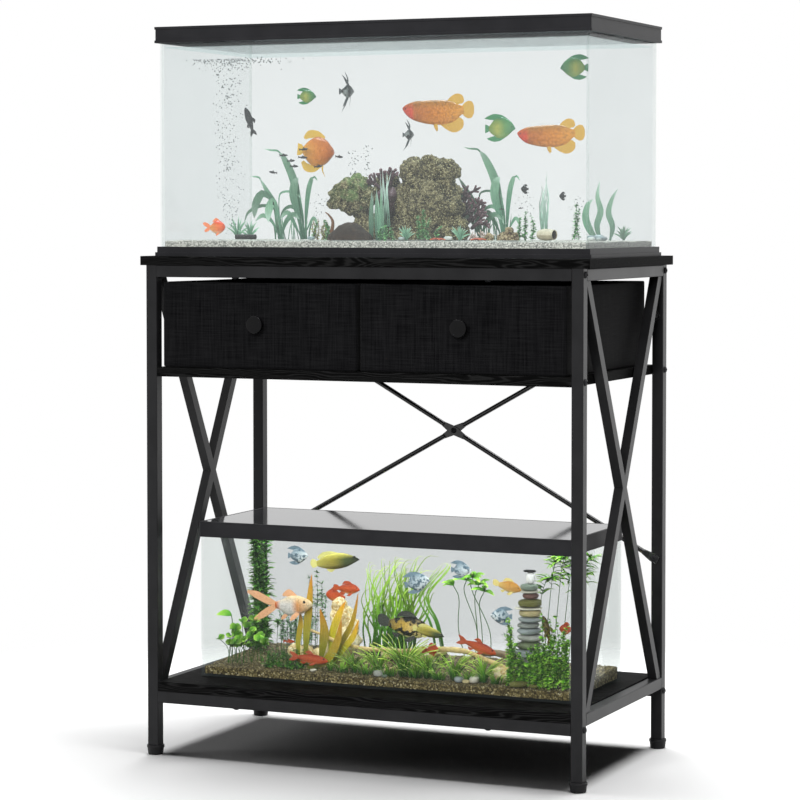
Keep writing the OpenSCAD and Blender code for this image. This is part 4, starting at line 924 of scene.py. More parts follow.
def plant_lower_tank():
    """Living plants of the lower tank."""
    rng = np.random.default_rng(23)
    dark = plant_skin("dark_green_fern", "#1e3a16", "#336822", "#549632", "#93c854", "#24461a")
    parts = []
    for x, y, top in ((-362, 44, 402), (-350, 40, 410), (-338, 46, 404), (-344, 34, 380), (-356, 52, 392)):
        path = [(x, y, low_ground(y)), (x + rng.normal(0, 5), y, 280), (x + rng.normal(0, 6), y, top)]
        parts += leafy_stem(path, 330, 19, 0.13, rng, 0.35, 0.9, taper=0.1)
    for _ in range(26):
        x, y = rng.uniform(-262, -178), rng.uniform(-124, -96)
        g = low_ground(y)
        path = [(x, y, g), (x + rng.normal(0, 4), y, g + 15), (x + rng.normal(0, 7), y, g + rng.uniform(22, 44))]
        parts += leafy_stem(path, 34, 8, 0.24, rng, 0.2, 0.5)
    for x, y, top in ((-262, -60, 250), (-246, 66, 330), (-226, 70, 318), (-232, 64, 344)):
        path = [(x, y, low_ground(y)), (x + 3, y, 240), (x + rng.normal(0, 6), y, top)]
        parts += leafy_stem(path, 60, 13, 0.15, rng, 0.5, 0.6, start=0.5)
    piece("lower_dark_plants", parts, dark, replaces=["lower_plants"])
    grey = plant_skin("grey_green_moss", "#3c6048", "#5f8f62", "#86b57f", "#b9dba4", "#44684a", 0.6)
    parts = []
    for _ in range(26):
        x, y = rng.uniform(-290, -216), rng.uniform(0, 60)
        path = [(x, y, low_ground(y)), (x + rng.normal(0, 4), y, 220), (x + rng.normal(0, 8), y, rng.uniform(236, 276))]
        parts += leafy_stem(path, 60, 8, 0.22, rng, 0.2, 0.5, start=0.3)
    for _ in range(5):
        x = rng.uniform(-268, -210)
        path = [(x, 70, low_ground(70)), (x, 70, 250), (x + rng.normal(0, 10), 70, rng.uniform(290, 330))]
        parts += leafy_stem(path, 30, 13, 0.14, rng, 0.5, 0.35, start=0.6)
    piece("lower_moss_bush", parts, grey)
    bright = plant_skin("bright_green_leaf", "#38741a", "#5ca024", "#92cc40", "#cdf07c", "#365f20")
    parts = []
    for _ in range(22):
        x, y = rng.uniform(-352, -276), rng.uniform(-112, -72)
        g = low_ground(y)
        head = np.array([x + rng.normal(0, 10), y + rng.normal(0, 6), g + rng.uniform(24, 86)])
        stalk = [(x, y, g), ((x + head[0]) / 2, y, (g + head[2]) / 2 + 4), head]
        parts.append(sweep(curve(stalk, 8), 0.7, 0.7, 5, (0.3, 1, 0), 0.2, 1.0))
        for a in rng.uniform(0, 2 * np.pi, 4):
            tip = head + (13 * math.cos(a), 10 * math.sin(a), rng.uniform(-2, 8))
            middle = (head + tip) / 2 + (0, 0, 2)
            parts.append(leaf([head, middle, tip], 7.5, rng.uniform(0, 1), facing=(0.2, -0.7, 0.7), count=8))
    shoot = [(-343, -92, low_ground(-92)), (-345, -92, 214), (-344, -92, 246), (-346, -92, 262)]
    parts.append(sweep(curve(shoot, 14), 0.9, 0.9, 5, (0.3, 1, 0), 0.2, 1.0))
    parts.append(leaf([(-346, -92, 262), (-360, -94, 266), (-378, -96, 262)], 8, 0.8, facing=(0.1, -0.7, 0.7), count=9))
    parts.append(leaf([(-345, -92, 232), (-336, -94, 240), (-328, -95, 236)], 5, 0.6, facing=(0.1, -0.7, 0.7), count=9))
    # small-leaved bush at the right
    for k in range(60):
        x, y = rng.uniform(262, 384), rng.uniform(-128, -96)
        if 272 < x < 302 and k % 3:
            x = 262 + rng.uniform(0, 8)
        g = low_ground(y)
        tall = (150 if x < 272 or x > 345 else 84) * rng.uniform(0.55, 1)
        path = [(x, y, g), (x + rng.normal(0, 5), y, g + tall * 0.5), (x + rng.normal(0, 9), y, g + tall)]
        parts += leafy_stem(path, 64, 10.5, 0.38, rng, 0.25, 0.6)
    # bamboo behind the stones
    for x, top in ((262, 356), (282, 392), (300, 402), (318, 388), (334, 372), (348, 398)):
        path = [(x - 20, 62, low_ground(62)), (x - 8, 60, 280), (x + 6, 56, top - 16), (x + 26, 52, top)]
        parts += leafy_stem(path, 40, 30, 0.11, rng, 0.15, 0.9, start=0.55, taper=0.2)
    # floating lotus leaves on long stalks
    stalks = [(100, 84, 326, -30), (116, 96, 338, 10), (126, 118, 330, 22), (150, 112, 344, 4), (136, 128, 318, 26)]
    for x0, x1, top, dx in stalks:
        stalk = [
            (x0, 60, low_ground(60)), (x0 + rng.normal(0, 9), 60, 240), (x1, 60, top - 26), (x1 + dx * 0.4, 60, top)
        ]
        parts.append(sweep(curve(stalk, 20), 0.9, 0.9, 5, (0.3, 1, 0), 0.2, 1.0))
        for a in rng.uniform(-0.5, np.pi + 0.5, 7):
            head = np.array(stalk[-1], float)
            tip = head + (26 * math.cos(a), 10 * rng.normal(), 12 * math.sin(a) - 2)
            middle = (head + tip) / 2 + (0, 0, 4)
            parts.append(leaf([head, middle, tip], 4.5, rng.uniform(0.2, 1), facing=(0.1, -0.6, 0.8), count=9))
    piece("lower_bright_plants", parts, bright)
    grass = plant_skin("yellow_green_eelgrass", "#1c3c10", "#468022", "#98c840", "#e6f482", "#345a1e", 0.35)
    parts = []
    for k in range(76):
        foot = rng.uniform(-110, -20)
        depth = rng.uniform(30, 90)
        g = float(low_ground(depth))
        top = rng.uniform(290, 392)
        lean = rng.uniform(-30, 34) + 30 * (k % 3 == 0)
        t = np.linspace(0, 1, 9)
        sway = 13 * np.sin(rng.uniform(0, 6) + 6.5 * t) * np.minimum(1, 2.2 * t)
        hook = (22 + 20 * rng.uniform()) * np.clip(t - 0.75, 0, 1) ** 1.3 * 6
        rise = g + (top - g) * np.minimum(t * 1.08, 1.02 - 0.12 * np.clip(t - 0.9, 0, 1) * 6)
        points = np.stack([foot + lean * t**1.5 + sway + hook * 0.5, depth + 0 * t, rise], axis=-1)
        parts.append(leaf(points, rng.uniform(1.3, 2.3), rng.uniform(0, 1), widest=0.3, root=0.8, count=22))
    for k in range(7):
        foot = rng.uniform(40, 70)
        points = [
            (foot, 40, low_ground(40)), (foot - 16, 40, 250), (foot - 40, 40, 300),
            (foot - 20 + 6 * k, 40, 340 + 4 * k), (foot + 10, 40, 372),
        ]
        parts.append(leaf(points, 1.4, rng.uniform(0.4, 1), widest=0.3, root=0.8, count=22))
    tufts = [
        (-92, -116, 34, 34), (-66, -110, 40, 40), (-38, -118, 34, 36), (-14, -112, 44, 46), (12, -118, 36, 38),
        (40, -112, 50, 72), (66, -116, 36, 44), (92, -112, 40, 50), (118, -118, 34, 38), (146, -112, 40, 44),
        (176, -116, 36, 38), (206, -112, 40, 44), (236, -118, 34, 38), (-118, -108, 20, 26), (60, -96, 30, 60),
    ]
    for k, (x, y, blades, tall) in enumerate(tufts):
        high, wide = (1.25, 9) if k % 2 else (0.75, 14)
        parts.append(grass_tuft(x, y, float(low_ground(y)), blades, tall * high, wide, 1.6, rng, 0.7))
    piece("lower_grass", parts, grass)
    sword = plant_skin("ochre_sword_leaf", "#6a7a24", "#a8a62a", "#d0a82a", "#e08f22", "#8a7a2c", 0.3, 1.6)
    g = float(low_ground(-70))
    parts = [
        leaf(points, width, shade, widest=at, root=0.6, count=20, thick=0.5, fold=0.25)
        for points, width, shade, at in (
            ([(-194, -66, g), (-190, -68, 230), (-184, -68, 290), (-180, -66, 350)], 8.5, 0.5, 0.5),
            ([(-160, -72, g), (-150, -74, 215), (-148, -74, 245), (-160, -70, 284)], 10, 0.35, 0.5),
            ([(-140, -76, g), (-112, -78, 215), (-86, -76, 262), (-74, -74, 322)], 6, 0.4, 0.45),
            ([(-172, -104, g + 2), (-130, -108, 186), (-104, -108, 226), (-96, -106, 272)], 8.5, 0.45, 0.5),
            ([(-142, -64, g), (-136, -64, 230), (-122, -64, 270), (-108, -62, 300)], 8, 1.0, 0.5),
            ([(-130, -84, g), (-100, -86, 210), (-80, -84, 236), (-70, -82, 268)], 6.5, 0.8, 0.5),
            ([(-150, -100, g), (-170, -106, 190), (-182, -108, 182), (-196, -108, 186)], 5, 0.6, 0.5),
            ([(-206, -66, g), (-210, -66, 210), (-204, -66, 250), (-206, -66, 276)], 6, 0.6, 0.5),
        )
    ]
    piece("lower_sword_plant", parts, sword)


def lay_wood_and_stone():
    """Driftwood branch, balanced stones, pebbles and pale rocks of the lower tank."""
    wood = worn_stone("weathered_driftwood", [(0.0, "#d9c084"), (0.4, "#e6d29c"), (0.7, "#8a7a60")], 7.0)
    # (x, y, z, half width) along each branch, and its tone
    branches = [
        (
            [
                (-206, -64, 246, 2.4), (-150, -70, 230, 3.2), (-98, -74, 215, 3.8), (-30, -76, 210, 4.4),
                (50, -76, 213, 5.2), (110, -74, 221, 5.6), (150, -74, 219, 5.4), (190, -76, 208, 5),
                (236, -74, 192, 5), (262, -68, 177, 6),
            ],
            0.2,
        ),
        ([(110, -60, 213, 4.5), (70, -70, 200, 3.6), (20, -90, 184, 3), (-20, -104, 171, 2)], 0.5),
        ([(150, -30, 205, 4), (200, -32, 212, 7), (245, -34, 206, 9), (275, -36, 180, 6)], 0.8),
        ([(-120, -50, 212, 2.4), (-150, -48, 218, 2.0), (-170, -44, 232, 1.2)], 0.2),
    ]
    parts = []
    for branch, tone in branches:
        line, half = tapered(branch, 60)
        half = half * (1 + 0.18 * noise(line / 9, 2))
        line = line + 1.6 * np.stack([noise(line / 22, k) for k in (4, 5, 6)], axis=-1)
        parts.append(sweep(line, half, half * 0.85, 12, (0, 1, 0), tone))
    piece("lower_driftwood_branch", parts, wood, replaces=["lower_driftwood"])
    tones = [
        (0.0, "#6f7a5c"), (0.1, "#9aa3a3"), (0.2, "#b3b5ad"), (0.3, "#8f948e"), (0.4, "#c7b98a"), (0.5, "#ddd9c8"),
        (0.6, "#6a6a35"), (0.7, "#6f4f47"), (0.8, "#7d8c7c"), (0.9, "#f0f0ec"), (0.97, "#1c1a19"),
    ]
    stones = worn_stone("balanced_river_stones", tones)
    # (thickness, radius, tone) from the gravel up
    balanced = [
        (28, 34, 0.05), (18, 31, 0.35), (16, 29, 0.15), (14, 27, 0.05), (14, 25, 0.25), (13, 24, 0.15),
        (10, 23, 0.35), (11, 24, 0.15), (14, 24, 0.45), (5, 27, 0.55), (15, 25, 0.65), (12, 17, 0.75),
        (5, 22, 0.55), (12, 19, 0.85), (22, 9, 0.95), (4, 13, 0.98),
    ]
    z = float(low_ground(-72)) + 1
    rng = np.random.default_rng(3)
    parts = []
    for k, (t, r, c) in enumerate(balanced):
        x, y = 286 + 2 * math.sin(math.radians(110 * k)), -72 + 2 * math.cos(math.radians(95 * k))
        parts.append(cobble(x, y, z, r, r * 0.9, t, rng.uniform(0, 3), c, k))
        z += t
    loose = [
        (-8, -124, 11, 12, 0.25), (160, -122, 13, 11, 0.15), (190, -118, 14, 13, 0.55), (285, -126, 20, 12, 0.65),
        (316, -124, 11, 8, 0.65), (176, -126, 8, 7, 0.45), (-150, -122, 7, 5, 0.55), (6, -128, 6, 5, 0.85),
    ]
    for k, (x, y, r, t, c) in enumerate(loose):
        parts.append(cobble(x, y, float(low_ground(y)) - 1, r, r * 0.7, t, rng.uniform(0, 3), c, 40 + k))
    piece("lower_stone_stack", parts, stones, replaces=["lower_stones"])
    rock = mossy_rock("pale_yellow_limestone", "#c09a5c", "#f0dca6", "#fff6dc", "#c9c258")
    lumps = [
        (-142, 0, 216, 33), (-146, 2, 258, 25), (-130, 4, 238, 22), (-156, 0, 194, 26), (-150, 0, 280, 17),
        (-238, -20, 187, 17), (-214, -24, 185, 18), (-190, -20, 183, 14), (-60, 40, 184, 15), (20, 50, 184, 13),
        (228, -80, 181, 15), (252, -84, 179, 13),
    ]
    piece("lower_pale_rocks", rock_lumps(lumps, 166, 0.2, 6, 14, sides=32, rings=20), rock)


# ---------- fish ----------


def fish_skin(name, stops, back, fin, belly, patches=None, scale_mm=2.4, blotch_mm=9.0):
    """Fish skin: the body's tone runs from mouth to tail, darker along the back and paler on the belly,
    under overlapping scales with a wet gloss; thin rayed fins and a black eye."""
    made, tree = started(name)
    place = add(tree, "TexCoord").outputs["Object"]
    mark = add(tree, "Attribute", attribute_name="mark")
    own = add(tree, "SeparateXYZ", {"Vector": mark.outputs["Vector"]})
    ramp = add(tree, "ValToRGB", {"Fac": own.outputs["X"]}, stops=stops)
    up = add(tree, "MapRange", {"Value": own.outputs["Y"], "From Min": 0.6, "From Max": 0.98})
    down = add(tree, "MapRange", {"Value": own.outputs["Y"], "From Min": 0.3, "From Max": 0.0, "To Max": 0.8})
    backed = add(tree, "Mix", {0: up, 6: ramp, 7: colour(back)}, data_type="RGBA")
    bellied = add(tree, "Mix", {0: down, 6: backed.outputs[2], 7: colour(belly)}, data_type="RGBA")
    skin = bellied.outputs[2]
    if patches:
        blotch = add(tree, "TexNoise", {"Vector": place, "Scale": 1 / (blotch_mm * MM), "Detail": 2.0})
        edge = add(tree, "ValToRGB", {"Fac": blotch}, stops=[(0.5, "#000000"), (0.54, "#ffffff")])
        skin = add(tree, "Mix", {0: edge, 6: skin, 7: colour(patches)}, data_type="RGBA").outputs[2]
    scales = add(tree, "TexVoronoi", {"Vector": place, "Scale": 1 / (scale_mm * MM)})
    mesh = add(tree, "MapRange", {"Value": scales, "To Min": 1.18, "To Max": 0.5})
    scaled = add(tree, "VectorMath", {0: skin, "Scale": mesh}, operation="SCALE")
    rays = add(tree, "TexNoise", {"Vector": place, "Scale": 1 / (1.4 * MM), "Detail": 2.0})
    ray = add(tree, "MapRange", {"Value": rays, "From Min": 0.3, "From Max": 0.7, "To Min": 0.75, "To Max": 1.2})
    finned = add(tree, "VectorMath", {0: colour(fin)[:3], "Scale": ray}, operation="SCALE")
    is_fin = add(tree, "Math", {0: own.outputs["Z"], 1: 0.5}, operation="GREATER_THAN")
    is_eye = add(tree, "Math", {0: own.outputs["Z"], 1: 1.5}, operation="GREATER_THAN")
    body = add(tree, "Mix", {0: is_fin, 6: scaled, 7: finned}, data_type="RGBA")
    whole = add(tree, "Mix", {0: is_eye, 6: body.outputs[2], 7: colour("#0a0a0a")}, data_type="RGBA")
    bump = add(tree, "Bump", {"Height": scales, "Strength": 0.25, "Distance": 0.3 * MM})
    return closed(
        made, "BsdfPrincipled", {"Base Color": whole.outputs[2], "Roughness": 0.32, "Normal": bump, "Coat Weight": 0.3}
    )


def swimmer(place, length, turn, outline, fins, depth=0.3, eye=(0.1, 0.05, 0.022), pitch=0.0, bend=0.0):
    """Fish with its mouth at place's left end before turning: ellipses of height top(s) - low(s) and width
    depth times that, along s from mouth to tail root; bend swings the tail by bend s^2. Fins are flat
    strips, each a list of (x, y, z, half height). outline rows are (s, top, low), all shares of length."""
    s, top, low = (np.array(column, float) for column in zip(*outline))
    at = np.linspace(s[0], s[-1], 26)
    high = curve(np.stack([s, top, 0 * s], axis=-1), 80)
    under = curve(np.stack([s, low, 0 * s], axis=-1), 80)
    top, low = np.interp(at, high[:, 0], high[:, 1]), np.interp(at, under[:, 0], under[:, 1])
    line = np.stack([at, 0 * at, (top + low) / 2], axis=-1)
    half = (top - low) / 2
    parts = [sweep(line, half, half * depth * (1 - 0.55 * at), 16, (0, 1, 0))]
    for fin in fins:
        parts.append(sweep(*tapered(fin, 14), 0.004, 4, (0, 1, 0), 0.5, 1.0))
    x, z, r = eye
    side = np.interp(x, at, half) * depth * 0.82
    for sy in (-1, 1):
        parts.append(ball((x, sy * side, z), (r, r * 0.5, r), 10, 6, 0.5, 2.0))
    points, faces, marks = joined(parts)
    marks[:, 0] = points[:, 0]
    marks[:, 1] = 0.5 + (points[:, 2] - (top.max() + low.min()) / 2) / (top.max() - low.min())
    points[:, 1] += bend * np.clip(points[:, 0] - 0.25, 0, 1) ** 2
    points = (points - (0.5, 0, 0)) * length
    return points @ turned(turn, pitch).T + np.asarray(place, float), faces, marks


# Each kind is (outline, fins), in shares of the fish's length.
AROWANA = (
    [
        (0.0, 0.045, 0.02), (0.04, 0.078, -0.03), (0.15, 0.115, -0.11), (0.35, 0.125, -0.165), (0.55, 0.125, -0.18),
        (0.7, 0.105, -0.15), (0.8, 0.062, -0.075), (0.86, 0.045, -0.045),
    ],
    [
        [
            (0.64, 0, 0.09, 0.03), (0.7, 0, 0.115, 0.055), (0.76, 0, 0.13, 0.07), (0.81, 0, 0.12, 0.065),
            (0.85, 0, 0.09, 0.02),
        ],
        [
            (0.54, 0, -0.15, 0.03), (0.63, 0, -0.17, 0.07), (0.72, 0, -0.18, 0.1), (0.79, 0, -0.155, 0.09),
            (0.83, 0, -0.11, 0.03),
        ],
        [(0.83, 0, 0.0, 0.045), (0.87, 0, 0.0, 0.085), (0.92, 0, 0.0, 0.11), (0.97, 0, 0.0, 0.1), (1.0, 0, 0.0, 0.045)],
        [(0.44, 0.03, -0.17, 0.022), (0.45, 0.03, -0.21, 0.02), (0.47, 0.03, -0.26, 0.006)],
        [(0.48, -0.03, -0.17, 0.022), (0.495, -0.03, -0.21, 0.02), (0.51, -0.03, -0.25, 0.006)],
    ],
)
DISCUS = (
    [
        (0.0, 0.03, -0.01), (0.06, 0.14, -0.12), (0.25, 0.33, -0.33), (0.5, 0.38, -0.4), (0.72, 0.25, -0.26),
        (0.86, 0.07, -0.07),
    ],
    [
        [(0.3, 0, 0.36, 0.04), (0.5, 0, 0.44, 0.09), (0.7, 0, 0.42, 0.11), (0.84, 0, 0.3, 0.04)],
        [(0.34, 0, -0.36, 0.04), (0.52, 0, -0.46, 0.09), (0.7, 0, -0.44, 0.11), (0.84, 0, -0.3, 0.04)],
        [(0.82, 0, 0, 0.06), (0.9, 0, 0, 0.14), (1.0, 0, 0, 0.16)],
        [(0.3, 0.04, -0.36, 0.03), (0.28, 0.04, -0.5, 0.015), (0.2, 0.04, -0.64, 0.004)],
    ],
)
ANGEL = (
    [
        (0.0, 0.0, -0.03), (0.06, 0.09, -0.08), (0.2, 0.25, -0.2), (0.4, 0.34, -0.29), (0.6, 0.31, -0.28),
        (0.76, 0.17, -0.17), (0.86, 0.06, -0.06),
    ],
    [
        [
            (0.22, 0, 0.24, 0.03), (0.45, 0, 0.34, 0.07), (0.68, 0, 0.35, 0.1), (0.86, 0, 0.33, 0.06),
            (1.0, 0, 0.31, 0.006),
        ],
        [
            (0.3, 0, -0.22, 0.03), (0.5, 0, -0.3, 0.07), (0.68, 0, -0.31, 0.09), (0.82, 0, -0.31, 0.05),
            (0.92, 0, -0.3, 0.006),
        ],
        [(0.82, 0, 0, 0.05), (0.9, 0, 0, 0.11), (0.98, 0, 0, 0.13)],
    ],
)
VEILED = (
    [
        (0.0, 0.0, -0.03), (0.08, 0.12, -0.1), (0.26, 0.28, -0.24), (0.46, 0.32, -0.29), (0.68, 0.18, -0.16),
        (0.84, 0.05, -0.05),
    ],
    [
        [(0.3, 0, 0.24, 0.04), (0.46, 0, 0.42, 0.08), (0.6, 0, 0.6, 0.05), (0.78, 0, 0.78, 0.006)],
        [(0.36, 0, -0.22, 0.04), (0.5, 0, -0.4, 0.08), (0.62, 0, -0.56, 0.05), (0.74, 0, -0.72, 0.006)],
        [(0.8, 0, 0, 0.05), (0.88, 0, 0, 0.12), (0.98, 0, 0, 0.15)],
        [(0.3, 0.05, -0.24, 0.02), (0.34, 0.08, -0.45, 0.012), (0.42, 0.1, -0.7, 0.003)],
    ],
)
FANCY = (
    [
        (0.0, 0.03, -0.02), (0.06, 0.15, -0.13), (0.22, 0.28, -0.26), (0.42, 0.29, -0.3), (0.6, 0.16, -0.18),
        (0.7, 0.07, -0.07),
    ],
    [
        [(0.26, 0, 0.26, 0.03), (0.42, 0, 0.34, 0.07), (0.58, 0, 0.24, 0.02)],
        [(0.68, 0, 0.01, 0.05), (0.8, 0.03, 0.08, 0.09), (0.92, 0.05, 0.15, 0.08), (1.0, 0.06, 0.18, 0.03)],
        [(0.68, 0, -0.01, 0.05), (0.8, -0.03, -0.08, 0.08), (0.9, -0.05, -0.14, 0.07), (0.97, -0.06, -0.18, 0.03)],
        [(0.26, 0.08, -0.22, 0.04), (0.32, 0.14, -0.3, 0.05), (0.38, 0.16, -0.36, 0.01)],
    ],
)
SLENDER = (
    [
        (0.0, 0.01, -0.01), (0.08, 0.07, -0.055), (0.25, 0.115, -0.1), (0.45, 0.115, -0.11), (0.65, 0.075, -0.07),
        (0.8, 0.04, -0.04),
    ],
    [
        [(0.38, 0, 0.1, 0.015), (0.5, 0, 0.15, 0.05), (0.6, 0, 0.13, 0.01)],
        [(0.56, 0, -0.08, 0.01), (0.64, 0, -0.11, 0.035), (0.7, 0, -0.08, 0.01)],
        [(0.78, 0, 0.0, 0.04), (0.9, 0, 0.05, 0.05), (1.0, 0, 0.1, 0.012)],
        [(0.78, 0, 0.0, 0.04), (0.9, 0, -0.05, 0.05), (1.0, 0, -0.1, 0.012)],
        [(0.3, 0.05, -0.07, 0.02), (0.36, 0.1, -0.1, 0.03), (0.42, 0.12, -0.12, 0.008)],
    ],
)
CARP = (
    [
        (0.0, 0.01, -0.03), (0.07, 0.08, -0.08), (0.2, 0.17, -0.14), (0.4, 0.2, -0.17), (0.6, 0.15, -0.12),
        (0.78, 0.07, -0.06),
    ],
    [
        [(0.28, 0, 0.17, 0.02), (0.42, 0, 0.22, 0.06), (0.56, 0, 0.22, 0.05), (0.66, 0, 0.15, 0.01)],
        [(0.54, 0, -0.12, 0.01), (0.62, 0, -0.17, 0.045), (0.7, 0, -0.14, 0.01)],
        [(0.76, 0, 0.0, 0.05), (0.86, 0, 0.03, 0.1), (0.95, 0, 0.05, 0.1), (1.0, 0, 0.05, 0.05)],
        [(0.26, 0.07, -0.12, 0.03), (0.34, 0.12, -0.18, 0.045), (0.42, 0.14, -0.2, 0.01)],
    ],
)
SPINDLE = (
    [
        (0.0, 0.0, -0.01), (0.08, 0.05, -0.045), (0.24, 0.12, -0.105), (0.42, 0.155, -0.135), (0.6, 0.145, -0.13),
        (0.76, 0.09, -0.095), (0.87, 0.04, -0.05),
    ],
    [
        [(0.4, 0, 0.14, 0.01), (0.56, 0, 0.155, 0.045), (0.72, 0, 0.14, 0.055), (0.84, 0, 0.1, 0.02)],
        [(0.85, 0, 0.0, 0.04), (0.9, 0, 0.0, 0.07), (0.96, 0, 0.01, 0.085), (1.0, 0, 0.01, 0.03)],
        [(0.5, 0, -0.12, 0.01), (0.6, 0, -0.15, 0.035), (0.68, 0, -0.13, 0.01)],
    ],
)
GOLDFISH = (
    [
        (0.0, 0.02, -0.01), (0.06, 0.08, -0.06), (0.2, 0.135, -0.13), (0.36, 0.13, -0.15), (0.5, 0.075, -0.075),
        (0.58, 0.045, -0.04),
    ],
    [
        [(0.24, 0, 0.12, 0.02), (0.36, 0, 0.17, 0.06), (0.46, 0, 0.14, 0.015)],
        [(0.56, 0, 0.01, 0.03), (0.7, 0.02, 0.07, 0.055), (0.86, 0.03, 0.15, 0.055), (1.0, 0.04, 0.2, 0.02)],
        [(0.56, 0, -0.01, 0.03), (0.68, 0, -0.07, 0.05), (0.8, 0, -0.14, 0.05), (0.93, 0, -0.21, 0.02)],
        [(0.2, 0.06, -0.1, 0.03), (0.26, 0.1, -0.16, 0.035), (0.3, 0.12, -0.2, 0.01)],
        [(0.4, 0, -0.12, 0.02), (0.46, 0, -0.17, 0.03), (0.5, 0, -0.2, 0.01)],
    ],
)


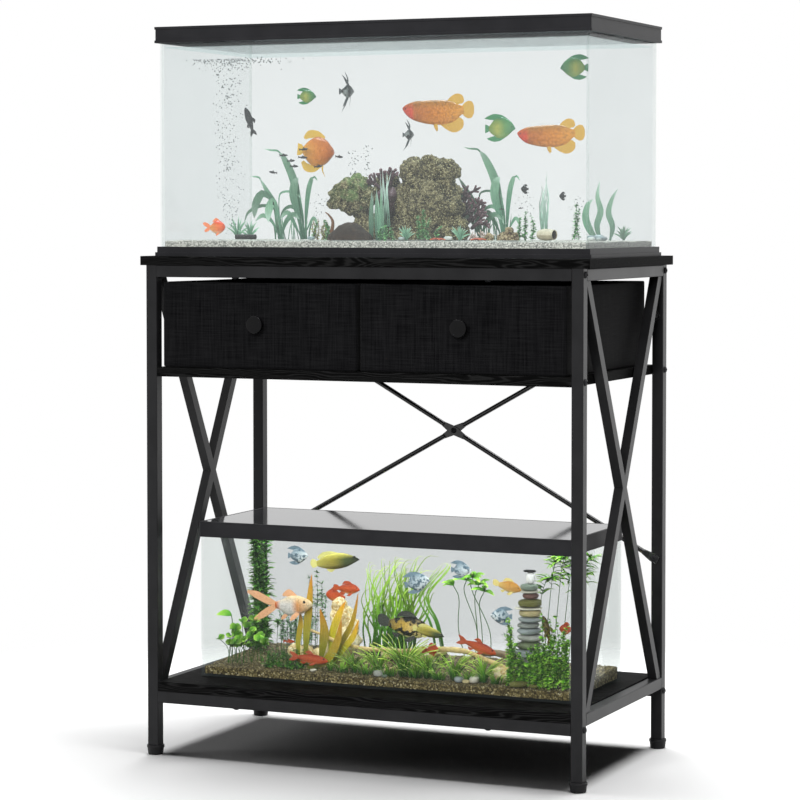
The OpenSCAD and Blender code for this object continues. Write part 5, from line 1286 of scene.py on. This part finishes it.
def stock_tanks():
    """All the fish. turn is 0 with the mouth to the left and 180 degrees with it to the right."""
    half_turn = np.pi
    orange = fish_skin(
        "orange_arowana_skin",
        [(0.0, "#d8432a"), (0.15, "#e0553a"), (0.19, "#bd6a2a"), (0.6, "#d98a30"), (1.0, "#dfa23c")], "#9a6a2a",
        "#d2a648", "#dd9040", scale_mm=4.2,
    )
    school = [
        swimmer((81, -40, 1266), 158, -0.1, *AROWANA, depth=0.42, eye=(0.055, 0.025, 0.014)),
        swimmer((315, -40, 1217), 140, -0.05, *AROWANA, depth=0.42, eye=(0.055, 0.025, 0.014), pitch=-0.03),
    ]
    piece("upper_orange_arowanas", school, orange)
    amber = fish_skin(
        "amber_discus_skin", [(0.0, "#cf6a2a"), (0.5, "#dc8630"), (1.0, "#dca840")], "#b8662c", "#dcb44c", "#dc963f",
        scale_mm=3.0,
    )
    piece(
        "upper_discus", [swimmer((-182, -40, 1189), 76, half_turn + 0.7, *DISCUS, depth=0.5, pitch=-0.1)], amber,
    )
    green = fish_skin(
        "green_angelfish_skin",
        [(0.0, "#4a8a68"), (0.3, "#6a9c5c"), (0.55, "#aeb458"), (0.8, "#7a9a50"), (1.0, "#3a4a3a")], "#2f7a4c",
        "#3f8458", "#86ae68", scale_mm=2.0,
    )
    school = [
        swimmer((-222, 0, 1299), 40, half_turn + 0.75, *ANGEL, depth=0.3),
        swimmer((194, 0, 1230), 64, half_turn, *ANGEL, depth=0.3),
        swimmer((348, 0, 1344), 58, 0.0, *ANGEL, depth=0.3),
    ]
    piece("upper_green_angelfish", school, green)
    silver = fish_skin(
        "silver_black_angelfish_skin", [(0.0, "#6f7a78"), (0.4, "#2a2e30"), (0.6, "#aab3b0"), (1.0, "#33383a")],
        "#2c3032", "#4a5254", "#9aa5a2", "#202426", 2.0, 7.0,
    )
    parts = []
    for x, y, z, tall in ((-150, 30, 1309, 82), (-2, 0, 1220, 63)):
        parts.append(swimmer((x + 2, y, z), tall * 0.52, half_turn + 1.2, *VEILED, depth=0.35))
        upper = [(x + 3, y, z + 8), (x + 5, y, z + tall * 0.3), (x - 2, y, z + tall * 0.5)]
        lower = [(x + 3, y, z - 6), (x + 1, y, z - tall * 0.28), (x - 9, y, z - tall * 0.5)]
        parts += [leaf(p, 1.7, 0.5, 1.0, widest=0.3, root=0.8, count=10) for p in (upper, lower)]
    piece("upper_silver_angelfish", parts, silver)
    black = fish_skin(
        "black_tetra_skin", [(0.0, "#26282b"), (1.0, "#1a1b1d")], "#141516", "#1c1d1f", "#3a3c40", scale_mm=1.5
    )
    parts = [swimmer((-334, -30, 1250), 60, 0.35, *SLENDER, depth=0.6, pitch=1.25, bend=-0.3)]
    tetras = [
        (-264, -20, 1182), (-247, -20, 1171), (-240, -20, 1160), (-190, -80, 1192), (-192, -80, 1176),
        (-158, -80, 1158), (-141, -20, 1178), (-287, -20, 1148), (238, 0, 1076), (198, 0, 1074),
    ]
    for k, place in enumerate(tetras):
        length, turn = 20 if k < 8 else 10, half_turn * (k < 7) + 0.2 * math.sin(5 * k)
        parts.append(swimmer(place, length, turn, *SLENDER, depth=0.6, pitch=0.15 * math.sin(3 * k)))
    parts += [swimmer(p, n, 0.9, *DISCUS, depth=0.5) for p, n in (((246, 0, 1113), 17), ((324, 0, 1099), 15))]
    piece("upper_black_tetras", parts, black)
    fancy = fish_skin(
        "red_white_goldfish_skin", [(0.0, "#f0603a"), (0.3, "#f07a3a"), (0.6, "#f5a04f"), (1.0, "#f08048")], "#e0301c",
        "#f08a5c", "#fbe6c0", scale_mm=2.2,
    )
    piece("upper_goldfish", [swimmer((-399, -60, 1038), 46, half_turn + 0.15, *FANCY, depth=0.75)], fancy)
    comet = fish_skin(
        "white_orange_comet_skin",
        [(0.0, "#fbe6b8"), (0.2, "#f6a860"), (0.3, "#fffaf0"), (0.48, "#fffaf0"), (0.56, "#f27a30"), (1.0, "#fbae78")],
        "#fbe0ac", "#fbbd8c", "#fffdf6", scale_mm=2.6,
    )
    piece(
        "lower_comet_goldfish", [swimmer((-242, -80, 287), 140, half_turn, *GOLDFISH, depth=0.75, pitch=0.05)], comet,
    )
    olive = fish_skin(
        "yellow_olive_cichlid_skin", [(0.0, "#20281a"), (0.28, "#4a5a20"), (0.5, "#a89a2e"), (1.0, "#d9cf62")],
        "#e8dc6a", "#ece48c", "#2e2012", scale_mm=2.2,
    )
    school = [
        swimmer((-132, -60, 377), 108, half_turn, *SPINDLE, depth=0.45, pitch=0.14),
        swimmer((92, -112, 258), 68, half_turn, *SPINDLE, depth=0.45, pitch=-0.2),
    ]
    piece("lower_olive_cichlids", school, olive)
    koi = fish_skin(
        "yellow_black_koi_skin",
        [(0.0, "#c9b98a"), (0.2, "#f2d890"), (0.5, "#e8bf4c"), (0.8, "#6a6230"), (1.0, "#2c2f28")], "#20242c",
        "#33372f", "#cfd8a0", "#17170f", 2.6, 12.0,
    )
    piece("lower_koi", [swimmer((32, -92, 262), 112, half_turn + 0.1, *CARP, depth=0.6, pitch=-0.16)], koi)
    red = fish_skin(
        "red_swordtail_skin", [(0.0, "#cf5224"), (0.5, "#d65c26"), (1.0, "#9c3c1a")], "#942c10", "#b84e24", "#eaa860",
        scale_mm=1.8,
    )
    school = [
        swimmer((-158, -126, 192), 84, half_turn, *SLENDER, depth=0.6, pitch=-0.08),
        swimmer((184, -90, 233), 84, half_turn, *SLENDER, depth=0.6, pitch=-0.3),
        swimmer((90, -100, 222), 34, half_turn + 0.6, *FANCY, depth=0.7),
        swimmer((-132, -6, 316), 58, half_turn, *CARP, depth=0.6),
        swimmer((-160, 4, 302), 40, 0.5, *FANCY, depth=0.5),
        swimmer((360, -60, 273), 34, 0.4, *FANCY, depth=0.6),
        swimmer((-234, -60, 212), 26, half_turn, *SLENDER, depth=0.6),
    ]
    piece("lower_red_swordtails", school, red)
    gold = fish_skin(
        "golden_orange_platy_skin", [(0.0, "#e0a040"), (0.5, "#eeb458"), (1.0, "#f4dc80")], "#c98a3a", "#f4e08a",
        "#f8e8b0", scale_mm=2.0,
    )
    piece(
        "lower_golden_platy", [swimmer((246, -90, 352), 60, half_turn, *CARP, depth=0.5, pitch=-0.18)], gold,
    )
    pale = fish_skin(
        "white_black_angelfish_skin", [(0.0, "#e6ecef"), (0.25, "#dde6ea"), (0.6, "#b9c8d0"), (1.0, "#5f7480")],
        "#728894", "#6f8592", "#f2f6f8", "#5f7684", 2.0, 6.0,
    )
    school = [
        swimmer((-243, 0, 376), 46, half_turn, *ANGEL, depth=0.35),
        swimmer((19, 0, 336), 52, half_turn + 0.3, *ANGEL, depth=0.35, pitch=0.2),
        swimmer((113, 0, 366), 43, half_turn, *ANGEL, depth=0.35),
        swimmer((187, 30, 275), 44, 0.3, *ANGEL, depth=0.35),
    ]
    piece("lower_white_angelfish", school, pale)
    brown = fish_skin(
        "olive_brown_loach_skin", [(0.0, "#6a5a24"), (1.0, "#8a7230")], "#3f3a1c", "#7a6a2f", "#a8924a", "#3a3418", 1.8,
        5.0,
    )
    piece(
        "lower_olive_loach", [swimmer((336, -110, 275), 60, 0.4, *SLENDER, depth=0.6, pitch=1.3, bend=0.3)], brown,
    )


def rise_bubbles():
    """Air bubbles: a column over the air stone that spreads under the surface, and thin strings over the
    rocks. Each is a 30-faced ball, clear in the middle and turning to an opaque grey towards its rim, a
    painted shade for the dark edge of a bubble in water."""
    made, tree = started("air_bubble_in_water")
    weight = add(tree, "LayerWeight", {"Blend": 0.5})
    rim = add(
        tree, "MapRange",
        {"Value": weight.outputs["Facing"], "From Min": 0.1, "From Max": 0.8, "To Min": 0.45, "To Max": 0.9},
    )
    clear = add(tree, "BsdfTransparent", {"Color": colour("#eef3f3")})
    # painted shade: the opaque grey rim stands in for a bubble's dark edge
    wall = add(tree, "BsdfPrincipled", {"Base Color": colour("#5c6868"), "Roughness": 0.15, "IOR": 1.33})
    closed(made, "MixShader", {"Fac": rim, 1: clear, 2: wall})
    rng = np.random.default_rng(17)

    def strand(count, x, y, low, high, spread, small, large):
        """Bubbles in a column from low to high that widens by spread towards its top, and their radii."""
        height = rng.uniform(low, high, count)
        share = (height - low) / (high - low)
        across = rng.normal(0, 1, count).clip(-1.8, 1.8) * spread
        places = np.stack([x + across * (0.35 + 0.65 * share), y + rng.normal(0, spread * 0.4, count), height], axis=-1)
        return places, rng.uniform(small, large, count)

    top = np.stack(
        [
            rng.normal(-350, 55, 230).clip(-434, -190), rng.normal(-60, 20, 230),
            1374 - rng.exponential(6, 230).clip(0, 22),
        ],
        axis=-1,
    )
    sets = [
        (top, rng.uniform(0.7, 1.6, 230)),
        strand(110, -366, -60, 1280, 1370, 24, 0.8, 1.7),
        strand(120, -366, -66, 1150, 1290, 22, 0.8, 1.5),
        strand(110, -356, -74, 1024, 1160, 20, 0.7, 1.3),
        strand(34, -100, -40, 1140, 1190, 10, 0.8, 1.5),
        strand(26, -70, -40, 1140, 1200, 6, 0.8, 1.6),
        strand(26, -165, -60, 1060, 1110, 14, 0.7, 1.3),
        strand(40, 262, -40, 1030, 1110, 14, 0.6, 1.2),
        strand(40, 340, 30, 1030, 1100, 9, 0.6, 1.2),
    ]
    places = np.concatenate([s[0] for s in sets])
    sizes = np.concatenate([s[1] for s in sets])
    one = ball((0, 0, 0), 1.0, 6, 4)
    piece("upper_air_bubbles", [copies(one, places, turned(np.zeros(len(places))), sizes)], made)


def pour_water():
    """Water surfaces: a thin clear skin over each tank, with ripples of a tenth of a millimetre."""
    made, tree = started("still_fresh_water")
    weight = add(tree, "LayerWeight", {"Blend": 0.5})
    steep = add(tree, "Math", {0: weight.outputs["Facing"], 1: 5.0}, operation="POWER")
    share = add(tree, "MapRange", {"Value": steep, "To Min": 0.003, "To Max": 0.62})
    clear = add(tree, "BsdfTransparent", {"Color": colour("#f6fafa")})
    mirror = add(tree, "BsdfGlossy", {"Color": colour("#f4fafa"), "Roughness": 0.05})
    closed(made, "MixShader", {"Fac": share, 1: clear, 2: mirror})
    for name, x0, x1, y0, y1, z in (
        ("upper_water", -440.5, 440.5, -189, 189, 1392), ("lower_water", -379, 393, -143.5, 129.5, 430)
    ):
        x, y = np.meshgrid(np.linspace(x0, x1, 60), np.linspace(y0, y1, 30), indexing="ij")
        ripple = 0.15 * noise(np.stack([x, y, 0 * x], axis=-1) / 25, 4)
        piece(name, [slab_part(np.stack([x, y, z + ripple], axis=-1), z - 1.5)], made)


def fill_tanks():
    """Gravel beds of both tanks."""
    pale = loose_gravel(
        "pale_crushed_quartz", [(0.2, "#5f625c"), (0.36, "#a9aaa2"), (0.55, "#c6c5bb"), (0.75, "#e6e4da")], 2.6, 0.6
    )
    bed = pebble_bed((-440.4, -189), (440.4, 189), 998.8, lambda y: UPPER_GROUND - 1.6 + 0 * y, 3.4, 1.6, 2.4, 9)
    piece("upper_gravel_bed", [bed], pale, replaces=["upper_gravel"])
    brown = loose_gravel(
        "brown_baked_clay_gravel",
        [(0.2, "#241c10"), (0.45, "#5e5230"), (0.6, "#85774a"), (0.74, "#b5a674"), (0.8, "#f2ebcc")], 3.0, 0.55,
    )
    bed = pebble_bed((-378.8, -143.4), (392.8, 129.4), 151.3, lambda y: low_ground(y) - 0.6, 5.0, 2.0, 2.2, 13)
    piece("lower_gravel_bed", [bed], brown, replaces=["lower_gravel"])


def frosted_lid():
    """Extruded polycarbonate lid plate, frosted: each face lets nine tenths of the light through, so that
    the plate looks pale grey from below, with a faint flow pattern."""
    made, tree = started("frosted_polycarbonate")
    place = add(tree, "TexCoord").outputs["Object"]
    flow = add(tree, "TexNoise", {"Vector": place, "Scale": 1 / (30 * MM), "Detail": 2.0})
    share = add(tree, "MapRange", {"Value": flow, "To Min": 0.08, "To Max": 0.14})
    clear = add(tree, "BsdfTransparent", {"Color": colour("#eef1f2")})
    frost = add(tree, "BsdfPrincipled", {"Base Color": colour("#c3cbcd"), "Roughness": 0.45, "IOR": 1.58})
    return closed(made, "MixShader", {"Fac": share, 1: clear, 2: frost})


# ---------- camera, light and floor ----------


def place_camera():
    """Camera a little above the tabletop, 5.4 m off towards the right and 2.4 degrees down, with the object
    brought to the middle by shift."""
    data = bpy.data.cameras.new("camera")
    data.lens, data.sensor_width = 122.77, 36.0
    data.shift_y = -0.0875
    data.clip_end = 100.0
    made = bpy.data.objects.new("camera", data)
    made.location = (2.1659, -4.9228, 1.0605)
    made.rotation_euler = (math.radians(90 - 2.39), 0, math.radians(23.92))
    bpy.context.scene.collection.objects.link(made)
    bpy.context.scene.camera = made
    bpy.context.scene.view_settings.view_transform = "Standard"


def softbox(name, place, aim, width, height, power):
    """Rectangular area light at place, turned towards aim."""
    data = bpy.data.lights.new(name, "AREA")
    data.shape, data.size, data.size_y = "RECTANGLE", width, height
    data.energy = power
    made = bpy.data.objects.new(name, data)
    made.location = place
    away = np.array(aim, float) - np.array(place, float)
    made.rotation_euler = (math.atan2(np.hypot(away[0], away[1]), -away[2]), 0, math.atan2(-away[0], away[1]))
    made.visible_camera = False
    bpy.context.scene.collection.objects.link(made)
    return made


def light_studio():
    """White surroundings that are seen and mirrored but hardly light matt surfaces, a broad box overhead
    that throws the shadow, a low one that lightens the floor under the left of the shelf, and three that
    light the object only: one in front, one behind to the right, which the right-hand faces mirror, and a
    lamp in the lower tank's hood."""
    world = bpy.data.worlds.new("studio_white")
    world.use_nodes = True
    tree = world.node_tree
    tree.nodes.clear()
    path = add(tree, "LightPath")
    strength = add(tree, "MapRange", {"Value": path.outputs["Is Diffuse Ray"], "To Min": 1.0, "To Max": 0.02})
    white = add(tree, "Background", {"Color": colour("#ffffff"), "Strength": strength})
    add(tree, "OutputWorld", {"Surface": white})
    bpy.context.scene.world = world
    softbox("overhead_box", (0.1, 0.55, 4.0), (0, 0, 0.0), 3.4, 2.5, 310)
    floor = lay_floor()
    left_out = bpy.data.collections.new("floor_left_out")
    left_out.objects.link(floor)
    left_out.collection_objects[0].light_linking.link_state = "EXCLUDE"
    front = softbox("front_box", (0.6, -4.8, 2.6), (0, 0, 0.7), 2.4, 2.4, 330)
    front.visible_glossy = False
    rear = softbox("right_rear_box", (2.6, 4.6, 0.9), (0.2, 0, 0.7), 3.0, 3.2, 34)
    hood = softbox("tank_hood_lamp", (0.007, -0.02, 0.442), (0.007, -0.021, 0.0), 0.72, 0.2, 2.2)
    hood.visible_glossy = False
    for box in (front, rear, hood):
        box.light_linking.receiver_collection = left_out
    only = bpy.data.collections.new("floor_only")
    only.objects.link(floor)
    low = softbox("low_left_box", (-3.4, -1.0, 1.8), (0, 0, 0.0), 2.4, 2.0, 20)
    low.visible_glossy = False
    low.light_linking.receiver_collection = only


def lay_floor():
    """Matt white floor: sqrt(x^2 + y^2) fades it into the white surroundings between 0.9 and 1.6 m."""
    half = 4.0
    across = np.linspace(-half, half, 15)
    x, y = np.meshgrid(across, across, indexing="ij")
    mesh = bpy.data.meshes.new("studio_floor")
    fill_mesh(mesh, sheet_part(np.stack([x, y, np.zeros_like(x)], axis=-1)), 1.0)
    matt_white, tree = started("matt_white_floor")
    place = add(tree, "TexCoord").outputs["Object"]
    far = add(tree, "VectorMath", {0: place}, operation="LENGTH")
    fade = add(tree, "MapRange", {"Value": far.outputs["Value"], "From Min": 0.9, "From Max": 1.6})
    fade.interpolation_type = "SMOOTHSTEP"
    matt = add(tree, "BsdfPrincipled", {"Base Color": colour("#fafafa"), "Roughness": 1.0, "Specular IOR Level": 0.0})
    clear = add(tree, "BsdfTransparent")
    closed(matt_white, "MixShader", {"Fac": fade, 1: matt, 2: clear})
    mesh.materials.append(matt_white)
    made = bpy.data.objects.new("studio_floor", mesh)
    bpy.context.scene.collection.objects.link(made)
    return made


def paint(names, finish):
    """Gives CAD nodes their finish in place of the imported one."""
    for name in names:
        mesh = frame["nodes"][name].data
        mesh.materials.clear()
        mesh.materials.append(finish)


def paint_stand():
    """Finishes of the frame, boards, fasteners, feet, trims and panes, by the record's slots."""
    slots = {}
    for row in frame["record"]["subparts"]:
        slots.setdefault(row["material_slot"], []).append(row["node"])
    finishes = {
        "black_laminate": wood_grain_laminate(),
        "black_steel": powder_coated_steel("satin_black_powder_coat", "#171718", "#1e1e1f"),
        "rod_steel": powder_coated_steel("black_powder_coated_rod", "#101011", "#161617", 0.6, 0.18),
        "fastener": powder_coated_steel("black_oxide_bolt", "#171718", "#222224"),
        "zinc_screw": plated_steel("zinc_plated_steel", "#b9bbbd", 0.3),
        "foot_plastic": moulded_plastic("black_moulded_nylon", "#0d0d0e", "#121213", 0.5),
        "drawer_board": moulded_plastic("covered_greyboard", "#25231f", "#2d2b27", 0.8, 2.0),
        "knob_black": moulded_plastic("black_turned_knob", "#050506", "#09090a", 0.14, shine=0.14),
        "tank_trim": moulded_plastic("black_abs_trim", "#1d1d1f", "#232325", 0.5, shine=0.14),
        "lid_plate": frosted_lid(),
        "lower_lid_plate": moulded_plastic("glossy_grey_lid", "#444548", "#4b4c4f", 0.09, shine=0.42),
    }
    for slot, finish in finishes.items():
        paint(slots[slot], finish)
    for tank, across, tint, film in (
        ("upper", "Y", "#f9fafa", 0.035),
        ("upper", "X", "#f2f4f4", 0.03),
        ("upper", "Z", "#f8fafa", 0.02),
        ("lower", "Y", "#f2f3f3", 0.008),
        ("lower", "X", "#f9fbfa", 0.015),
        ("lower", "Z", "#f9fbfa", 0.02),
    ):
        chosen = [
            node
            for node in slots["tank_glass"]
            if node.startswith(tank) and across == ("X" if "side" in node else "Z" if "bottom" in node else "Y")
        ]
        paint(chosen, float_glass(f"{tank}_float_glass_{across.lower()}", across, tint, film))


place_camera()
light_studio()
paint_stand()
sew_drawers()
fill_tanks()
stack_rocks()
place_ornaments()
plant_upper_tank()
lay_wood_and_stone()
plant_lower_tank()
stock_tanks()
rise_bubbles()
pour_water()
